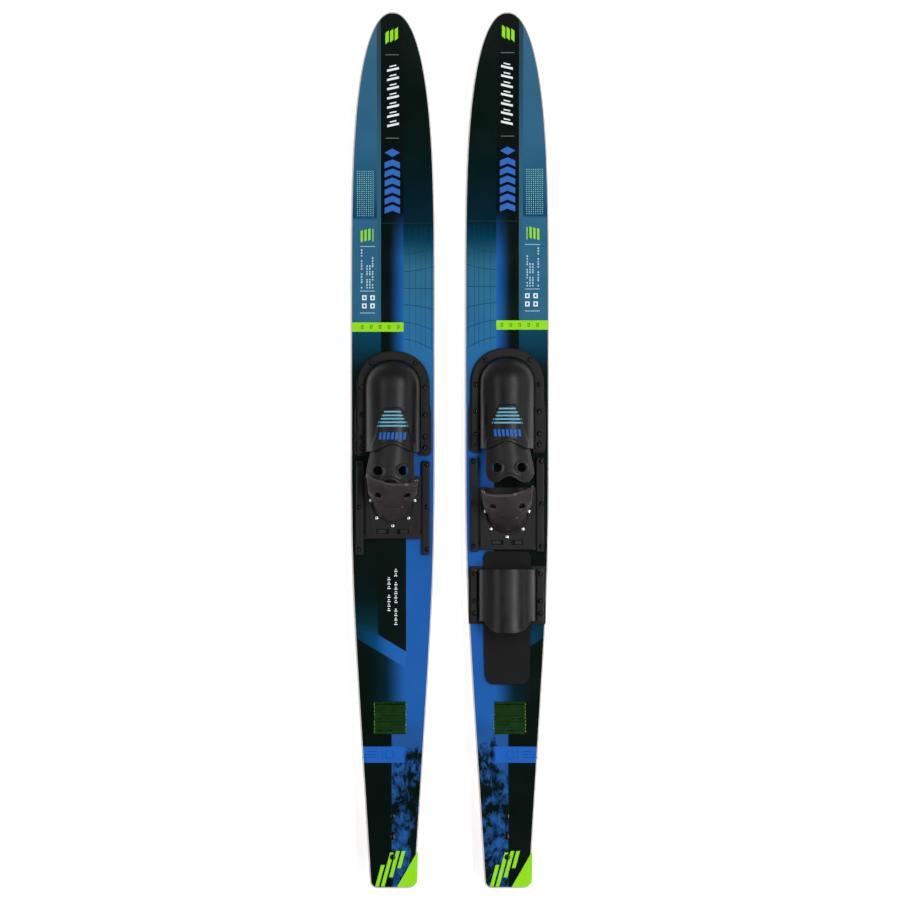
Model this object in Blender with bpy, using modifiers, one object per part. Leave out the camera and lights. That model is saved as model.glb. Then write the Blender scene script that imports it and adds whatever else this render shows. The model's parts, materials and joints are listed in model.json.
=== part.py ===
"""A pair of combination water skis with rubber slide-adjustable bindings, lying base down.

Each ski is modelled in its own frame, in millimetres: x across, s along from the tail to the
tip, z up from the flat belly of the base. An empty holds that frame and pitches it, so that the
ski rests on its fin and its belly. Further empties hold the toe binding, the heel binding on its
slide axis, and the two lock tabs. The pair's own frame is +Y towards the tips and +Z up.
"""

import math

import bmesh
import bpy
import numpy as np
from mathutils import Matrix, Vector

MM = 0.001
GAP = 0.3                      # running clearance between neighbouring pieces
PARTS, CUTTERS = "water_ski_pair", "cutters"
MERGE = 0.002                  # points nearer than this are one point

# Ski
LENGTH = 1701.8                # 67 inches
HALF_WIDTH = 82.8
SPACING = 223.0                # between the two centrelines
FLAT_FROM, FLAT_TO = 380.0, 1150.0
DECK = 13.0                    # thickness along the flat stretch
TAIL_THICK, TIP_THICK = 9.0, 8.0
TIP_RISE, TAIL_RISE = 105.0, 8.0
RIM = 2.3                      # width of the base's upstanding rim round the deck
FLOOR_THICK = 3.2              # of the base under the core
TUNNEL = 1.8                   # depth of the shallow channel along the base
SKIN = 1.2                     # printed deck sheet
STATIONS = [0, 3.5, 8, 14, 45, 100, 160, 230, 300, 340, 380, 480, 600, 740, 900, 1040, 1150, 1215,
            1275, 1330, 1380, 1430, 1475, 1515, 1550, 1580, 1608, 1632, 1654, 1672, 1686, 1695,
            LENGTH]

# Fin
FIN_FROM, FIN_TO, FIN_DEPTH = 45.0, 160.0, 50.0
FIN_CONTACT = 100.0            # front end of the fin's straight lower edge
FIN_SCREWS = (61.4, 100.9, 140.4)
FLANGE_THICK = 5.5

# Toe binding, for the left ski; the right ski's sits TOE_SHIFT further forward
TOE_SHIFT = 6.2
NOSE = 1043.9
ARCH = 975.0                   # where the straight legs meet the arch
FRAME_OUT, FRAME_BAND = 69.0, 14.2
FRAME_REAR = 847.8
FRAME_LOW, FRAME_HIGH = 8.7, 12.7
TOE_SCREWS = ((20.0, 43.0), (67.8, 61.5), (120.8, 61.5), (165.0, 61.5), (185.5, 61.5))
RUBBER = 2.8
FLAP = 2.0                     # thickness of the instep flap
FLAP_HOLE_AT, FLAP_HOLE_X, FLAP_HOLE = 811.0, 24.5, 9.0

# Heel binding
RAIL_IN, RAIL_OUT, RAIL_LONG = 56.5, 72.0, 183.0
RAIL_FRONT = 832.4
RAIL_SCREWS = (7.0, 89.4, 172.4)
PLATE_HALF, PLATE_LONG = 52.8, 121.5
HEEL_REAR = {"left": 680.6, "right": 659.2}
HEEL_SCREWS = ((0.0, 25.3), (31.0, 40.3), (42.3, 74.8), (45.2, 111.6))
CUP_WALL = 3.0
CUP_HOLE_X, CUP_HOLE_UP, CUP_HOLE = 28.0, 72.0, 7.0
LOCK_AT = 13.9                 # lock bars' centre, ahead of the slider's rear edge
LOCK_HALF = 4.0                # half a lock bar's width

# Rear toe piece, right ski only
REAR_BAR = (519.0, 623.4)
REAR_SCREWS = (11.0, 63.7, 88.4)
PAD = (397.0, 656.5)

# Deck screws: x of each row, front end of its bar, and how far behind it each screw is
SCREW_ROWS = {"rail": (66.5, RAIL_FRONT, RAIL_SCREWS), "rear": (64.0, REAR_BAR[1], REAR_SCREWS)}
SHANK, CLEARANCE = 1.8, 2.4    # radii of a screw and of its hole
LANDING = 2.5                  # thickness of the strip that a group of screws is driven into

# Finishes: colour, roughness, metallic
FINISHES = {
    "base_plastic": ((0.60, 0.58, 0.58), 0.35, 0.0),
    "core_board": ((0.62, 0.50, 0.34), 0.70, 0.0),
    "deck_print": ((0.02, 0.10, 0.40), 0.25, 0.0),
    "moulded_plastic": ((0.015, 0.015, 0.016), 0.45, 0.0),
    "frame_plastic": ((0.018, 0.019, 0.020), 0.40, 0.0),
    "rubber": ((0.020, 0.020, 0.020), 0.50, 0.0),
    "grey_rubber": ((0.045, 0.040, 0.040), 0.55, 0.0),
    "foam": ((0.015, 0.015, 0.015), 0.90, 0.0),
    "screw_steel": ((0.12, 0.12, 0.13), 0.35, 1.0),
    "bright_steel": ((0.60, 0.60, 0.62), 0.25, 1.0),
}


# ---- objects, frames and materials ----

def collection(name, hidden):
    made = bpy.data.collections.new(name)
    made.hide_render = hidden
    bpy.context.scene.collection.children.link(made)


def empty(name, parent=None, place=(0, 0, 0)):
    """A frame for pieces to hang on, placed in its parent's frame."""
    made = bpy.data.objects.new(name, None)
    made.parent, made.location = parent, Vector(place) * MM
    made.empty_display_size = 20 * MM
    bpy.data.collections[PARTS].objects.link(made)
    return made


def finish_of(slot):
    """The Principled material of a finish, made the first time it is asked for."""
    if slot in bpy.data.materials:
        return bpy.data.materials[slot]
    made = bpy.data.materials.new(slot)
    made.use_nodes = True
    shader = made.node_tree.nodes["Principled BSDF"]
    colour, roughness, metallic = FINISHES[slot]
    shader.inputs["Base Color"].default_value = (*colour, 1)
    shader.inputs["Roughness"].default_value = roughness
    shader.inputs["Metallic"].default_value = metallic
    return made


def piece(name, mesh, frame, slot):
    """A part of the pair, on its frame and in its material."""
    mesh.shade_smooth()
    mesh.set_sharp_from_angle(angle=math.radians(35))
    mesh.materials.append(finish_of(slot))
    made = bpy.data.objects.new(name, mesh)
    made.parent = frame
    bpy.data.collections[PARTS].objects.link(made)
    return made


def shape(thing, operation, mesh):
    """Cuts a tool out of the piece, or joins it on; the tool stays with the cutters."""
    tool = bpy.data.objects.new(f"{thing.name}_tool", mesh)
    tool.parent = thing.parent
    tool.hide_render, tool.display_type = True, "WIRE"
    bpy.data.collections[CUTTERS].objects.link(tool)
    change = thing.modifiers.new(operation.lower(), "BOOLEAN")
    change.solver, change.operation, change.object = "EXACT", operation, tool
    change.use_self = True     # the shapes of one tool may overlap each other
    weld = thing.modifiers.new("weld", "WELD")
    weld.merge_threshold = MERGE * MM


def cut(thing, *meshes):
    for mesh in meshes:
        shape(thing, "DIFFERENCE", mesh)


def join(thing, mesh):
    shape(thing, "UNION", mesh)


# ---- meshes ----

def finished(work):
    """The mesh of a bmesh, welded, with its faces turned outwards."""
    bmesh.ops.remove_doubles(work, verts=work.verts, dist=MERGE * MM)
    bmesh.ops.recalc_face_normals(work, faces=work.faces)
    mesh = bpy.data.meshes.new("mesh")
    work.to_mesh(mesh)
    work.free()
    return mesh


def evaluated(data, *settings):
    """A bmesh of what a curve, or a mesh under one modifier, evaluates to."""
    thing = bpy.data.objects.new("pattern", data)
    bpy.context.scene.collection.objects.link(thing)
    for kind, values in settings:
        modifier = thing.modifiers.new(kind.lower(), kind)
        for key, value in values.items():
            setattr(modifier, key, value)
    graph = bpy.context.evaluated_depsgraph_get()
    mesh = bpy.data.meshes.new_from_object(thing.evaluated_get(graph))
    bpy.data.objects.remove(thing)
    work = bmesh.new()
    work.from_mesh(mesh)
    bpy.data.meshes.remove(mesh)
    return work


def loft(rings):
    """A closed skin through equal rings of points, with both ends capped."""
    count, work = len(rings[0]), bmesh.new()
    rows = [[work.verts.new(Vector(p) * MM) for p in ring] for ring in rings]
    for low, high in zip(rows, rows[1:]):
        for k in range(count):
            after = (k + 1) % count
            work.faces.new((low[k], low[after], high[after], high[k]))
    work.faces.new(reversed(rows[0]))
    work.faces.new(rows[-1])
    return finished(work)


def plate_of(outline, low, high):
    """A flat plate with the outline, between two heights."""
    work = extruded(outline, high - low)
    bmesh.ops.translate(work, verts=work.verts, vec=(0, 0, (low + high) / 2 * MM))
    return finished(work)


def bar_of(profile, rear, front):
    """A straight bar with the (x, z) profile, from its rear end to its front end."""
    work = extruded(profile, front - rear)
    bmesh.ops.transform(work, verts=work.verts, matrix=Matrix.Rotation(math.radians(90), 4, "X"))
    bmesh.ops.translate(work, verts=work.verts, vec=(0, (rear + front) / 2 * MM, 0))
    return finished(work)


def extruded(outline, thick):
    curve = bpy.data.curves.new("outline", "CURVE")
    curve.dimensions, curve.fill_mode, curve.extrude = "2D", "BOTH", thick / 2 * MM
    spline = curve.splines.new("POLY")
    spline.points.add(len(outline) - 1)
    spline.use_cyclic_u = True
    for point, (a, b) in zip(spline.points, outline):
        point.co = (a * MM, b * MM, 0, 1)
    return evaluated(curve)


def turned(profile, sides=6):
    """A round solid on the z axis; the profile of (radius, height) runs down its outer side."""
    points = [(0.0, profile[0][1]), *profile, (0.0, profile[-1][1])]
    mesh = bpy.data.meshes.new("profile")
    mesh.from_pydata([(r * MM, 0, z * MM) for r, z in points],
                     [(k, k + 1) for k in range(len(points) - 1)], [])
    work = evaluated(mesh, ("SCREW", {"steps": sides, "render_steps": sides,
                                      "use_merge_vertices": True, "merge_threshold": MERGE * MM}))
    bmesh.ops.rotate(work, verts=work.verts, matrix=Matrix.Rotation(math.pi / sides, 3, "Z"))
    return finished(work)


def copies(pattern, places):
    """One mesh with a copy of the pattern at each (x, s)."""
    work = bmesh.new()
    for x, s in places:
        before = set(work.verts)
        work.from_mesh(pattern)
        added = [v for v in work.verts if v not in before]
        bmesh.ops.translate(work, verts=added, vec=(x * MM, s * MM, 0))
    return finished(work)


def cylinder(centre, radius, length, sides=6, axis="Z"):
    turn = Matrix.Rotation(math.radians(90), 4, "X") if axis == "Y" else Matrix.Identity(4)
    work = bmesh.new()
    bmesh.ops.create_cone(work, cap_ends=True, segments=sides, radius1=radius * MM,
                          radius2=radius * MM, depth=length * MM,
                          matrix=Matrix.Translation(Vector(centre) * MM) @ turn)
    return finished(work)


def drills(places, radius, low, high, sides=6):
    """Upright cylinders between two heights, one at each (x, s)."""
    return copies(cylinder((0, 0, (low + high) / 2), radius, high - low, sides), places)


def box(x, s, z):
    """A box between two limits each way."""
    limits = [sorted(pair) for pair in (x, s, z)]
    middle = Vector([(low + high) / 2 for low, high in limits]) * MM
    size = Matrix.Diagonal((*[high - low for low, high in limits], 1))
    work = bmesh.new()
    bmesh.ops.create_cube(work, size=MM, matrix=Matrix.Translation(middle) @ size)
    return finished(work)


def strip(path, width):
    """The outline of a flat strip of even width along a path of (x, s) points."""
    path = np.array(path, float)
    along = np.gradient(path, axis=0)
    along /= np.linalg.norm(along, axis=1)[:, None]
    aside = np.stack([-along[:, 1], along[:, 0]], axis=1) * width / 2
    return (path + aside).tolist() + (path - aside).tolist()[::-1]


def skin(name, rows, thick, frame, slot, keep=None):
    """A rubber sheet through a grid of points, grown inwards from its outer face."""
    work = bmesh.new()
    grid = [[work.verts.new(Vector(p) * MM) for p in row] for row in rows]
    for r, (row, after) in enumerate(zip(grid, grid[1:])):
        for c in range(len(row) - 1):
            if keep is None or keep(r, c):
                work.faces.new((row[c], after[c], after[c + 1], row[c + 1]))
    loose = [v for v in work.verts if not v.link_faces]
    bmesh.ops.delete(work, geom=loose, context="VERTS")
    bmesh.ops.remove_doubles(work, verts=work.verts, dist=MERGE * MM)
    bmesh.ops.dissolve_degenerate(work, edges=work.edges, dist=MERGE * MM)
    mesh = bpy.data.meshes.new(name)
    work.to_mesh(mesh)
    work.free()
    made = piece(name, mesh, frame, slot)
    grow = made.modifiers.new("grow", "SOLIDIFY")
    grow.thickness, grow.offset, grow.use_even_offset = thick * MM, -1.0, True
    return made


def wall_between(outside, inside):
    """A closed wall between two grids of points that match row by row."""
    work = bmesh.new()
    faces = [[[work.verts.new(Vector(p) * MM) for p in row] for row in grid]
             for grid in (outside, inside)]
    for grid in faces:
        for row, after in zip(grid, grid[1:]):
            for c in range(len(row) - 1):
                work.faces.new((row[c], after[c], after[c + 1], row[c + 1]))
    outer, inner = [grid[0] + [row[-1] for row in grid[1:-1]] + grid[-1][::-1]
                    + [row[0] for row in grid[-2:0:-1]] for grid in faces]
    for k in range(len(outer)):
        after = (k + 1) % len(outer)
        work.faces.new((outer[k], outer[after], inner[after], inner[k]))
    return finished(work)


# ---- curves and outlines ----

def arc_power(angle, power):
    """Cosine and sine of a rounded-square curve at the given angle."""
    c, s = math.cos(angle), math.sin(angle)
    return (math.copysign(abs(c) ** (2 / power), c), math.copysign(abs(s) ** (2 / power), s))


def smooth(x):
    x = min(max(x, 0.0), 1.0)
    return x * x * (3 - 2 * x)


def moved(path, shift):
    return [(x, s + shift) for x, s in path]


def mirrored(half):
    """An outline closed by the mirror image of its half on the other side of x = 0."""
    return half + [(-x, other) for x, other in reversed(half)]


def horseshoe(half, nose, legs, bends=12, power=2.2):
    """Points from the left leg's rear end, round the nose, to the right leg's rear end."""
    left = [(-half, s) for s in legs]
    arch = []
    for k in range(1, bends):
        c, up = arc_power(math.pi * k / bends, power)
        arch.append((-half * c, ARCH + (nose - ARCH) * up))
    return left + arch + [(-x, s) for x, s in reversed(left)]


def round_ends(outer, inner, steps=4):
    """Draws both ends of a pair of paths together so that the strip ends in a half circle."""
    for step in range(steps):
        spread = math.sin(math.radians(90) * (step + 0.35) / (steps - 0.65))
        for k in (step, len(outer) - 1 - step):
            (x_out, s_out), (x_in, s_in) = outer[k], inner[k]
            middle = (x_out + x_in) / 2
            outer[k] = (middle + (x_out - middle) * spread, s_out)
            inner[k] = (middle + (x_in - middle) * spread, s_in)


def u_path(half, rear, front, depth=None, bends=10):
    """A U open to the front: left leg, round the rear, right leg."""
    depth = min(half, front - rear - 1.0) if depth is None else depth
    turns = [math.pi * k / bends for k in range(bends + 1)]
    arc = [(-half * math.cos(t), rear + depth * (1 - math.sin(t))) for t in turns]
    knee = (front + arc[0][1]) / 2
    return [(-half, front), (-half, knee), *arc, (half, knee), (half, front)]


# ---- ski body ----

def half_width(s, inset=0.0):
    """Half the outline's width at s, with the whole outline moved inwards by inset."""
    if s > 1100:
        along = min((s - 1100) / (602 - inset), 1.0)
        return max((HALF_WIDTH - inset) * (1 - along ** 3.6) ** (1 / 2.2), 5.0 - inset)
    taper = 0.0627 * 70 * math.log(1 + math.exp((622 - s) / 70))
    corner, into = 14 - inset, s - inset
    nip = corner - math.sqrt(corner ** 2 - (corner - into) ** 2) if into < corner else 0.0
    return HALF_WIDTH - inset - taper - nip


def exact_base(s):
    if s > FLAT_TO:
        return TIP_RISE * ((s - FLAT_TO) / (LENGTH - FLAT_TO)) ** 2.2
    return TAIL_RISE * (max(FLAT_FROM - s, 0) / FLAT_FROM) ** 2


def exact_thick(s):
    if s > FLAT_TO:
        return DECK + (TIP_THICK - DECK) * (s - FLAT_TO) / (LENGTH - FLAT_TO)
    return DECK + (TAIL_THICK - DECK) * max(FLAT_FROM - s, 0) / FLAT_FROM


def base_z(s):
    return float(np.interp(s, STATIONS, [exact_base(t) for t in STATIONS]))


def top_z(s):
    return float(np.interp(s, STATIONS, [exact_base(t) + exact_thick(t) for t in STATIONS]))


def tunnel_z(s):
    return base_z(s) + float(np.interp(s, [200, 300, 1040, 1150], [0, TUNNEL, TUNNEL, 0]))


def layer(inset, low, high):
    """A flat layer of the ski between two heights, given as functions of s."""
    stations = [inset, *[s for s in STATIONS if inset < s < LENGTH - inset], LENGTH - inset]
    return loft([[(-w, s, low(s)), (w, s, low(s)), (w, s, high(s)), (-w, s, high(s))]
                 for s in stations for w in [half_width(s, inset)]])


def base_ring(s):
    w, low = half_width(s), base_z(s)
    edge = min(5.0, 0.3 * w)
    right = [(0.30 * w, tunnel_z(s)), (0.42 * w, low), (w - edge, low),
             (w, low + 0.6 * edge), (w, top_z(s))]
    return [(-x, s, z) for x, z in reversed(right)] + [(x, s, z) for x, z in right]


def screw_groups(side):
    """The ski's groups of deck screws: kind, which side of the ski, shift along it."""
    shift = TOE_SHIFT if side > 0 else 0.0
    groups = [("toe", 0, shift), ("rail", side, shift), ("rail", -side, shift)]
    return groups + ([("rear", side, 0.0), ("rear", -side, 0.0)] if side > 0 else [])


def screw_places(kind, sign):
    """Where a group's screws go, as (x, s) before the group's shift."""
    if kind == "toe":
        return [(way * x, NOSE - back) for back, x in TOE_SCREWS for way in (-1, 1)]
    x, front, backs = SCREW_ROWS[kind]
    return [(sign * x, front - back) for back in backs]


def landing(kind, sign, slack=0.0):
    """Centre line of the strip that a group's screws are driven into, before its shift."""
    if kind == "toe":
        return horseshoe(61.5, NOSE - 7, [852.0, 900.0, ARCH])
    x, front, backs = SCREW_ROWS[kind]
    return [(sign * x, front - backs[-1] - 6 - slack), (sign * x, front - backs[0] + 5 + slack)]


def ski_body(name, side, frame):
    groups = screw_groups(side)
    fin_holes = [(0, s) for s in FIN_SCREWS]
    through = (-20.0, 40.0)

    base = piece(f"{name}_base_shell", loft([base_ring(s) for s in STATIONS]), frame, "base_plastic")
    cut(base, layer(RIM, lambda s: base_z(s) + FLOOR_THICK, lambda s: top_z(s) + 5),
        drills(fin_holes, 2.6, *through))

    inset = RIM + GAP
    core = piece(f"{name}_core", layer(inset, lambda s: base_z(s) + FLOOR_THICK + GAP,
                                       lambda s: top_z(s) - SKIN - GAP), frame, "core_board")
    slot_floor = DECK - SKIN - GAP - LANDING - 0.7
    for kind, sign, shift in groups:
        cut(core, plate_of(strip(moved(landing(kind, sign, 0.8), shift), 9.0), slot_floor, 40))
    cut(core, drills(fin_holes, 2.6, *through))

    deck = piece(f"{name}_deck_sheet", layer(inset, lambda s: top_z(s) - SKIN, top_z), frame,
                 "deck_print")
    cut(deck, drills(fin_holes, 2.6, *through))
    for kind, sign, shift in groups:
        cut(deck, drills(moved(screw_places(kind, sign), shift), CLEARANCE, *through))


def fin(name, frame, pitch):
    """Moulded fin with a flange that follows the base, and its three screws."""
    sections = [s for s in STATIONS if FIN_FROM <= s <= FIN_TO]
    flange = [[(-w, s, top), (w, s, top), (w - 2, s, top - FLANGE_THICK), (2 - w, s, top - FLANGE_THICK)]
              for s, w in zip(sections, (9.0, 12.0, 8.0)) for top in [base_z(s) - GAP]]
    made = piece(f"{name}_fin", loft(flange), frame, "moulded_plastic")

    def blade_ring(rear, front, half, height):
        thickest = rear + 0.45 * (front - rear)
        return [(x, s, height(s)) for x, s in ((0.5, rear), (half, thickest), (0.4, front),
                                               (-0.4, front), (-half, thickest), (-0.5, rear))]
    drop = math.tan(pitch)
    join(made, loft([blade_ring(50, 152, 3.6, lambda s: 0.6),
                     blade_ring(50, 140, 3.2, lambda s: -14.0),
                     blade_ring(52, 116, 2.4, lambda s: -36.0),
                     blade_ring(55, FIN_CONTACT, 1.6,
                                lambda s: -FIN_DEPTH + (s - FIN_CONTACT) * drop)]))
    for place, s in zip(("rear", "middle", "front"), FIN_SCREWS):
        cut(made, drills([(0, s)], 2.6, base_z(s) - GAP - 4.5, 20))
        top = top_z(s)
        mesh = turned([(3.2, top + 3.0), (5.4, top + 2.2), (5.4, top + 0.6), (2.0, top + 0.6),
                       (2.0, base_z(s) - GAP - 4.0)], 8)
        mesh.transform(Matrix.Translation((0, s * MM, 0)))
        piece(f"{name}_fin_screw_{place}", mesh, frame, "screw_steel")


# ---- pieces screwed to the deck; z is counted from the deck here ----

def screw_group(name, kind, sign, frame, head_top, head=(4.0, 2.2)):
    """Screws of one group, with the strip inside the core that they are driven into."""
    low = -SKIN - GAP - LANDING - 0.3
    radius, tall = head
    screw = turned([(radius, head_top), (radius, head_top - tall),
                    (SHANK, head_top - tall), (SHANK, low + 1.0)])
    made = piece(name, plate_of(strip(landing(kind, sign), 7.6), low, low + LANDING), frame,
                 "screw_steel")
    join(made, copies(screw, screw_places(kind, sign)))


def sunk_holes(thing, places, seat, head):
    """Clearance holes right through, with a round seat for each screw head."""
    cut(thing, drills(places, CLEARANCE, -30, 90), drills(places, head, seat, 90))


def toe_binding(name, side, frame):
    holes = screw_places("toe", 0)

    # base plate: a horseshoe that widens into two feet behind the arch
    legs = [842.5, 846.0, 854.0, 925.0, 940.0, ARCH]
    outer = horseshoe(FRAME_OUT + 3.3, NOSE + 3.3, legs)
    inner = horseshoe(50.5, NOSE - 18.0, legs)
    for k, wide in enumerate((63.0, 71.0, 75.0, 75.0)):
        outer[k], outer[-1 - k] = (-wide, legs[k]), (wide, legs[k])
    plate = piece(f"{name}_toe_plate", plate_of(outer + inner[::-1], GAP, 5.3), frame,
                  "frame_plastic")
    cut(plate, *[box((sign * 48.0, sign * 59.2), (840, 907.4), (3.0, 9)) for sign in (-1, 1)],
        drills(holes, CLEARANCE, -30, 90))

    # clamp frame with sunk screw heads
    legs = [FRAME_REAR, FRAME_REAR + 1.6, FRAME_REAR + 4.2, FRAME_REAR + 7.2, 905.0, ARCH]
    outer = horseshoe(FRAME_OUT, NOSE, legs)
    inner = horseshoe(FRAME_OUT - FRAME_BAND, NOSE - 14, legs)
    round_ends(outer, inner)
    rim = piece(f"{name}_toe_frame", plate_of(outer + inner[::-1], FRAME_LOW, FRAME_HIGH), frame,
                "frame_plastic")
    sunk_holes(rim, holes, 10.4, 4.6)
    cut(rim, drills([(sign * 61.5, NOSE - 176.0) for sign in (-1, 1)], 1.9, -30, 90))

    toe_overlay(name, frame, holes)
    instep_flap(name, side, frame)
    screw_group(f"{name}_toe_screws", "toe", 0, frame, FRAME_HIGH - 0.1)


def toe_overlay(name, frame, holes):
    """Outer rubber: a flange under the frame, then a dome open at the rear."""
    foot, wall, crown = FRAME_LOW - GAP, 5.6, 48.0
    levels = [(68.0, NOSE - 1, 0.0, 0.0), (53.9, 1029.2, 0.0, 0.0), (53.4, 1028.7, wall, 0.0)]
    for angle in (16, 32, 46, 60, 73, 84, 90):
        c, up = arc_power(math.radians(angle), 2.3)
        levels.append((53.4 * c, ARCH + 53.7 * c, wall, up))
    rows = []
    for half, nose, lift, up in levels:
        rear = 849.0 + 14.0 * (1 - smooth(half / 42)) - (0.8 if lift == 0 else 0)
        path = horseshoe(max(half, 0.0), nose, list(np.linspace(rear, ARCH, 4)))
        rows.append([(x, s, foot + lift + (crown + 0.10 * max(ARCH - s, 0)) * up) for x, s in path])
    made = skin(f"{name}_toe_overlay", rows, RUBBER, frame, "rubber")
    cut(made, drills(holes, CLEARANCE, -30, 12))


def instep_flap(name, side, frame):
    """Inner rubber: an arched flap with two finger holes, clamped under the overlay's legs."""
    fore, leg_rear, lip = 905.0, 852.0, 794.0
    foot = 5.3
    angles = (0, 15, 30, 45, 60, 75, 90)
    half_row = [(58.4, 0), (49.3, 0)] + [(None, a) for a in angles[:-1]]
    across = ([(-1, x, a) for x, a in half_row] + [(-1, None, 90), (1, None, 90)]
              + [(1, x, a) for x, a in reversed(half_row)])
    rows = []
    for s in (fore, 878.0, leg_rear, 838.0, 820.0, 802.0, lip):
        wide = float(np.interp(s, [802, leg_rear, fore], [55.4, 49.3, 49.3]))
        row = []
        for sign, flange, angle in across:
            c, up = arc_power(math.radians(angle), 2.4)
            x = wide * c if flange is None else flange
            at = lip - 12.0 * math.sin(math.pi * min(x, 47) / 60) ** 2 if s == lip else s
            tall = float(np.interp(at, [782, 863, fore], [76.5, 67.5, 64.0]))
            z = foot if flange else foot + (tall - foot) * up
            lean = side * 4.6 * smooth((leg_rear + 10 - at) / 55)
            row.append((sign * x + lean, at, z))
        rows.append(row)
    legs = 4                   # columns at each edge that only the clamped stretch has

    def on_flap(r, c):
        return r < 2 or legs <= c <= len(across) - 2 - legs
    made = skin(f"{name}_instep_flap", rows, FLAP, frame, "grey_rubber", on_flap)
    places = [(sign * FLAP_HOLE_X + side * 3.8, FLAP_HOLE_AT) for sign in (-1, 1)]
    cut(made, drills(places, FLAP_HOLE, 27, 187, 12))


def rails(name, side, frame):
    """Two grooved rails on the deck, with their screws."""
    profile = [(60.6, 0.3), (RAIL_OUT, 0.3), (RAIL_OUT, 8.6), (RAIL_OUT - 1.4, 10.3),
               (RAIL_IN + 1.0, 10.3), (RAIL_IN, 9.3), (RAIL_IN, 5.5), (60.6, 5.5)]
    for place, sign in (("outer", side), ("inner", -side)):
        mesh = bar_of([(sign * x, z) for x, z in profile], RAIL_FRONT - RAIL_LONG, RAIL_FRONT)
        rail = piece(f"{name}_rail_{place}", mesh, frame, "moulded_plastic")
        sunk_holes(rail, screw_places("rail", sign), 7.0, 4.4)
        screw_group(f"{name}_rail_screws_{place}", "rail", sign, frame, 9.4)


# ---- heel binding; s is counted from the slider's rear edge here ----

def heel_binding(name, side, frame):
    screws = [(sign * x, s) for x, s in HEEL_SCREWS for sign in ((-1, 1) if x else (1,))]
    nut_line = [(-45.2, 118.0), (-45.0, 100.0), (-42.3, 74.8), (-38.5, 55.0), (-31.0, 40.3),
                (-18.0, 29.5)]
    nut_line += [(0.0, 25.3)] + [(-x, s) for x, s in reversed(nut_line)]
    bar_from, bar_to = LOCK_AT - LOCK_HALF, LOCK_AT + LOCK_HALF

    # slider, running under the rails' lips
    profile = mirrored([(60.2, 0.8), (60.2, 5.0), (55.6, 5.0), (55.6, 6.0)])
    slider = piece(f"{name}_heel_slider", bar_of(profile, 0, PLATE_LONG), frame, "moulded_plastic")
    cut(slider, plate_of(strip(nut_line, 8.8), -5, 3.2), drills(screws, 2.3, -30, 90),
        box((-70, 70), (bar_from - 0.5, bar_to + 0.5), (2.3, 20)))

    # clamp plate: a horseshoe over the heel cup's flange, with two slots for the lock tabs
    corners = [(PLATE_HALF - 3, PLATE_LONG), (PLATE_HALF, PLATE_LONG - 3), (PLATE_HALF, 5.0),
               (PLATE_HALF - 1.5, 1.5), (PLATE_HALF - 5, 0.0)]
    plate = piece(f"{name}_heel_clamp_plate",
                  plate_of(mirrored(corners) + u_path(38.9, 29.9, PLATE_LONG), 6.3, 12.7), frame,
                  "moulded_plastic")
    recess = u_path(49.6, 19.3, 140.0) + u_path(36.0, 33.0, 140.0)[::-1]
    cut(plate, plate_of(recess, 0, 9.7), drills(screws, 2.3, -30, 90))
    cut(plate, *[box((sign * 8.0, sign * 31.0), (bar_from - 0.7, bar_to + 0.7), (-13, 47))
                 for sign in (-1, 1)])

    heel_cup(name, side, frame, screws)

    nuts = piece(f"{name}_heel_screws", plate_of(strip(nut_line, 7.8), 1.0, 2.9), frame,
                 "bright_steel")
    join(nuts, copies(turned([(3.4, 15.0), (3.4, 13.0), (SHANK, 13.0), (SHANK, 1.8)]), screws))


def heel_cup(name, side, frame, screws):
    """Rubber cup: a flange, then a wall that leans forward to a flared saddle rim."""
    levels = [(9.4, 49.2, 20.0, 120.5), (9.4, 37.5, 31.5, 120.0), (16, 38.5, 34.0, 119.0),
              (26, 40.0, 39.5, 114.0), (35, 42.0, 45.5, 104.0), (46, 44.5, 54.5, 93.0),
              (60, 46.5, 66.5, 89.5), (74, 47.6, 79.0, 94.0), (86, 48.6, 92.0, 106.0),
              (95, 49.6, 101.0, 116.0)]

    def cup_row(height, half, back, front):
        flare, row = smooth((height - 72) / 23), []
        for x, s in u_path(half, back, front):
            tilt = smooth(side * x / 40) * 6.0 - smooth(-side * x / 40) * 3.0
            dip = -3.0 * (1 - (x / 50) ** 2)
            row.append((x, s + flare * tilt, height + flare * dip))
        return row
    outside = [cup_row(*level) for level in levels]
    inside = []
    for k, (height, half, back, front) in enumerate(levels):
        inwards = CUP_WALL if k else 0.0
        drop = CUP_WALL if k < 2 else 0.6
        row = cup_row(height, half - inwards, back + 1.2 * inwards, front)
        inside.append([(x, s, z - drop) for x, s, z in row])
    cup = piece(f"{name}_heel_cup", wall_between(outside, inside), frame, "grey_rubber")
    cut(cup, drills(screws, 2.3, -30, 12))
    cut(cup, *[cylinder((sign * CUP_HOLE_X, 80, CUP_HOLE_UP), CUP_HOLE, 60, 12, "Y")
               for sign in (-1, 1)])


def lock(name, place, sign, frame):
    """A lock tab: a bar that runs out towards the rail, and its knob. s is from the bar's middle."""
    tab = piece(f"{name}_lock_tab_{place}",
                box((sign * 9.0, sign * 59.8), (-LOCK_HALF, LOCK_HALF), (2.6, 4.8)), frame,
                "moulded_plastic")
    join(tab, box((sign * 14.5, sign * 29.5), (0.3 - LOCK_HALF, LOCK_HALF - 0.3), (4.0, 14.2)))


def lock_spring(name, frame):
    """Leaf spring between the two lock tabs."""
    leaf = [(-8.6, 3.2), (-8.2, -2.2), (-4.5, -3.3), (0, -3.5), (4.5, -3.3), (8.2, -2.2), (8.6, 3.2)]
    piece(f"{name}_lock_spring", plate_of(strip(moved(leaf, LOCK_AT), 0.6), 2.8, 4.6), frame,
          "bright_steel")


# ---- rear toe piece ----

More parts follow.
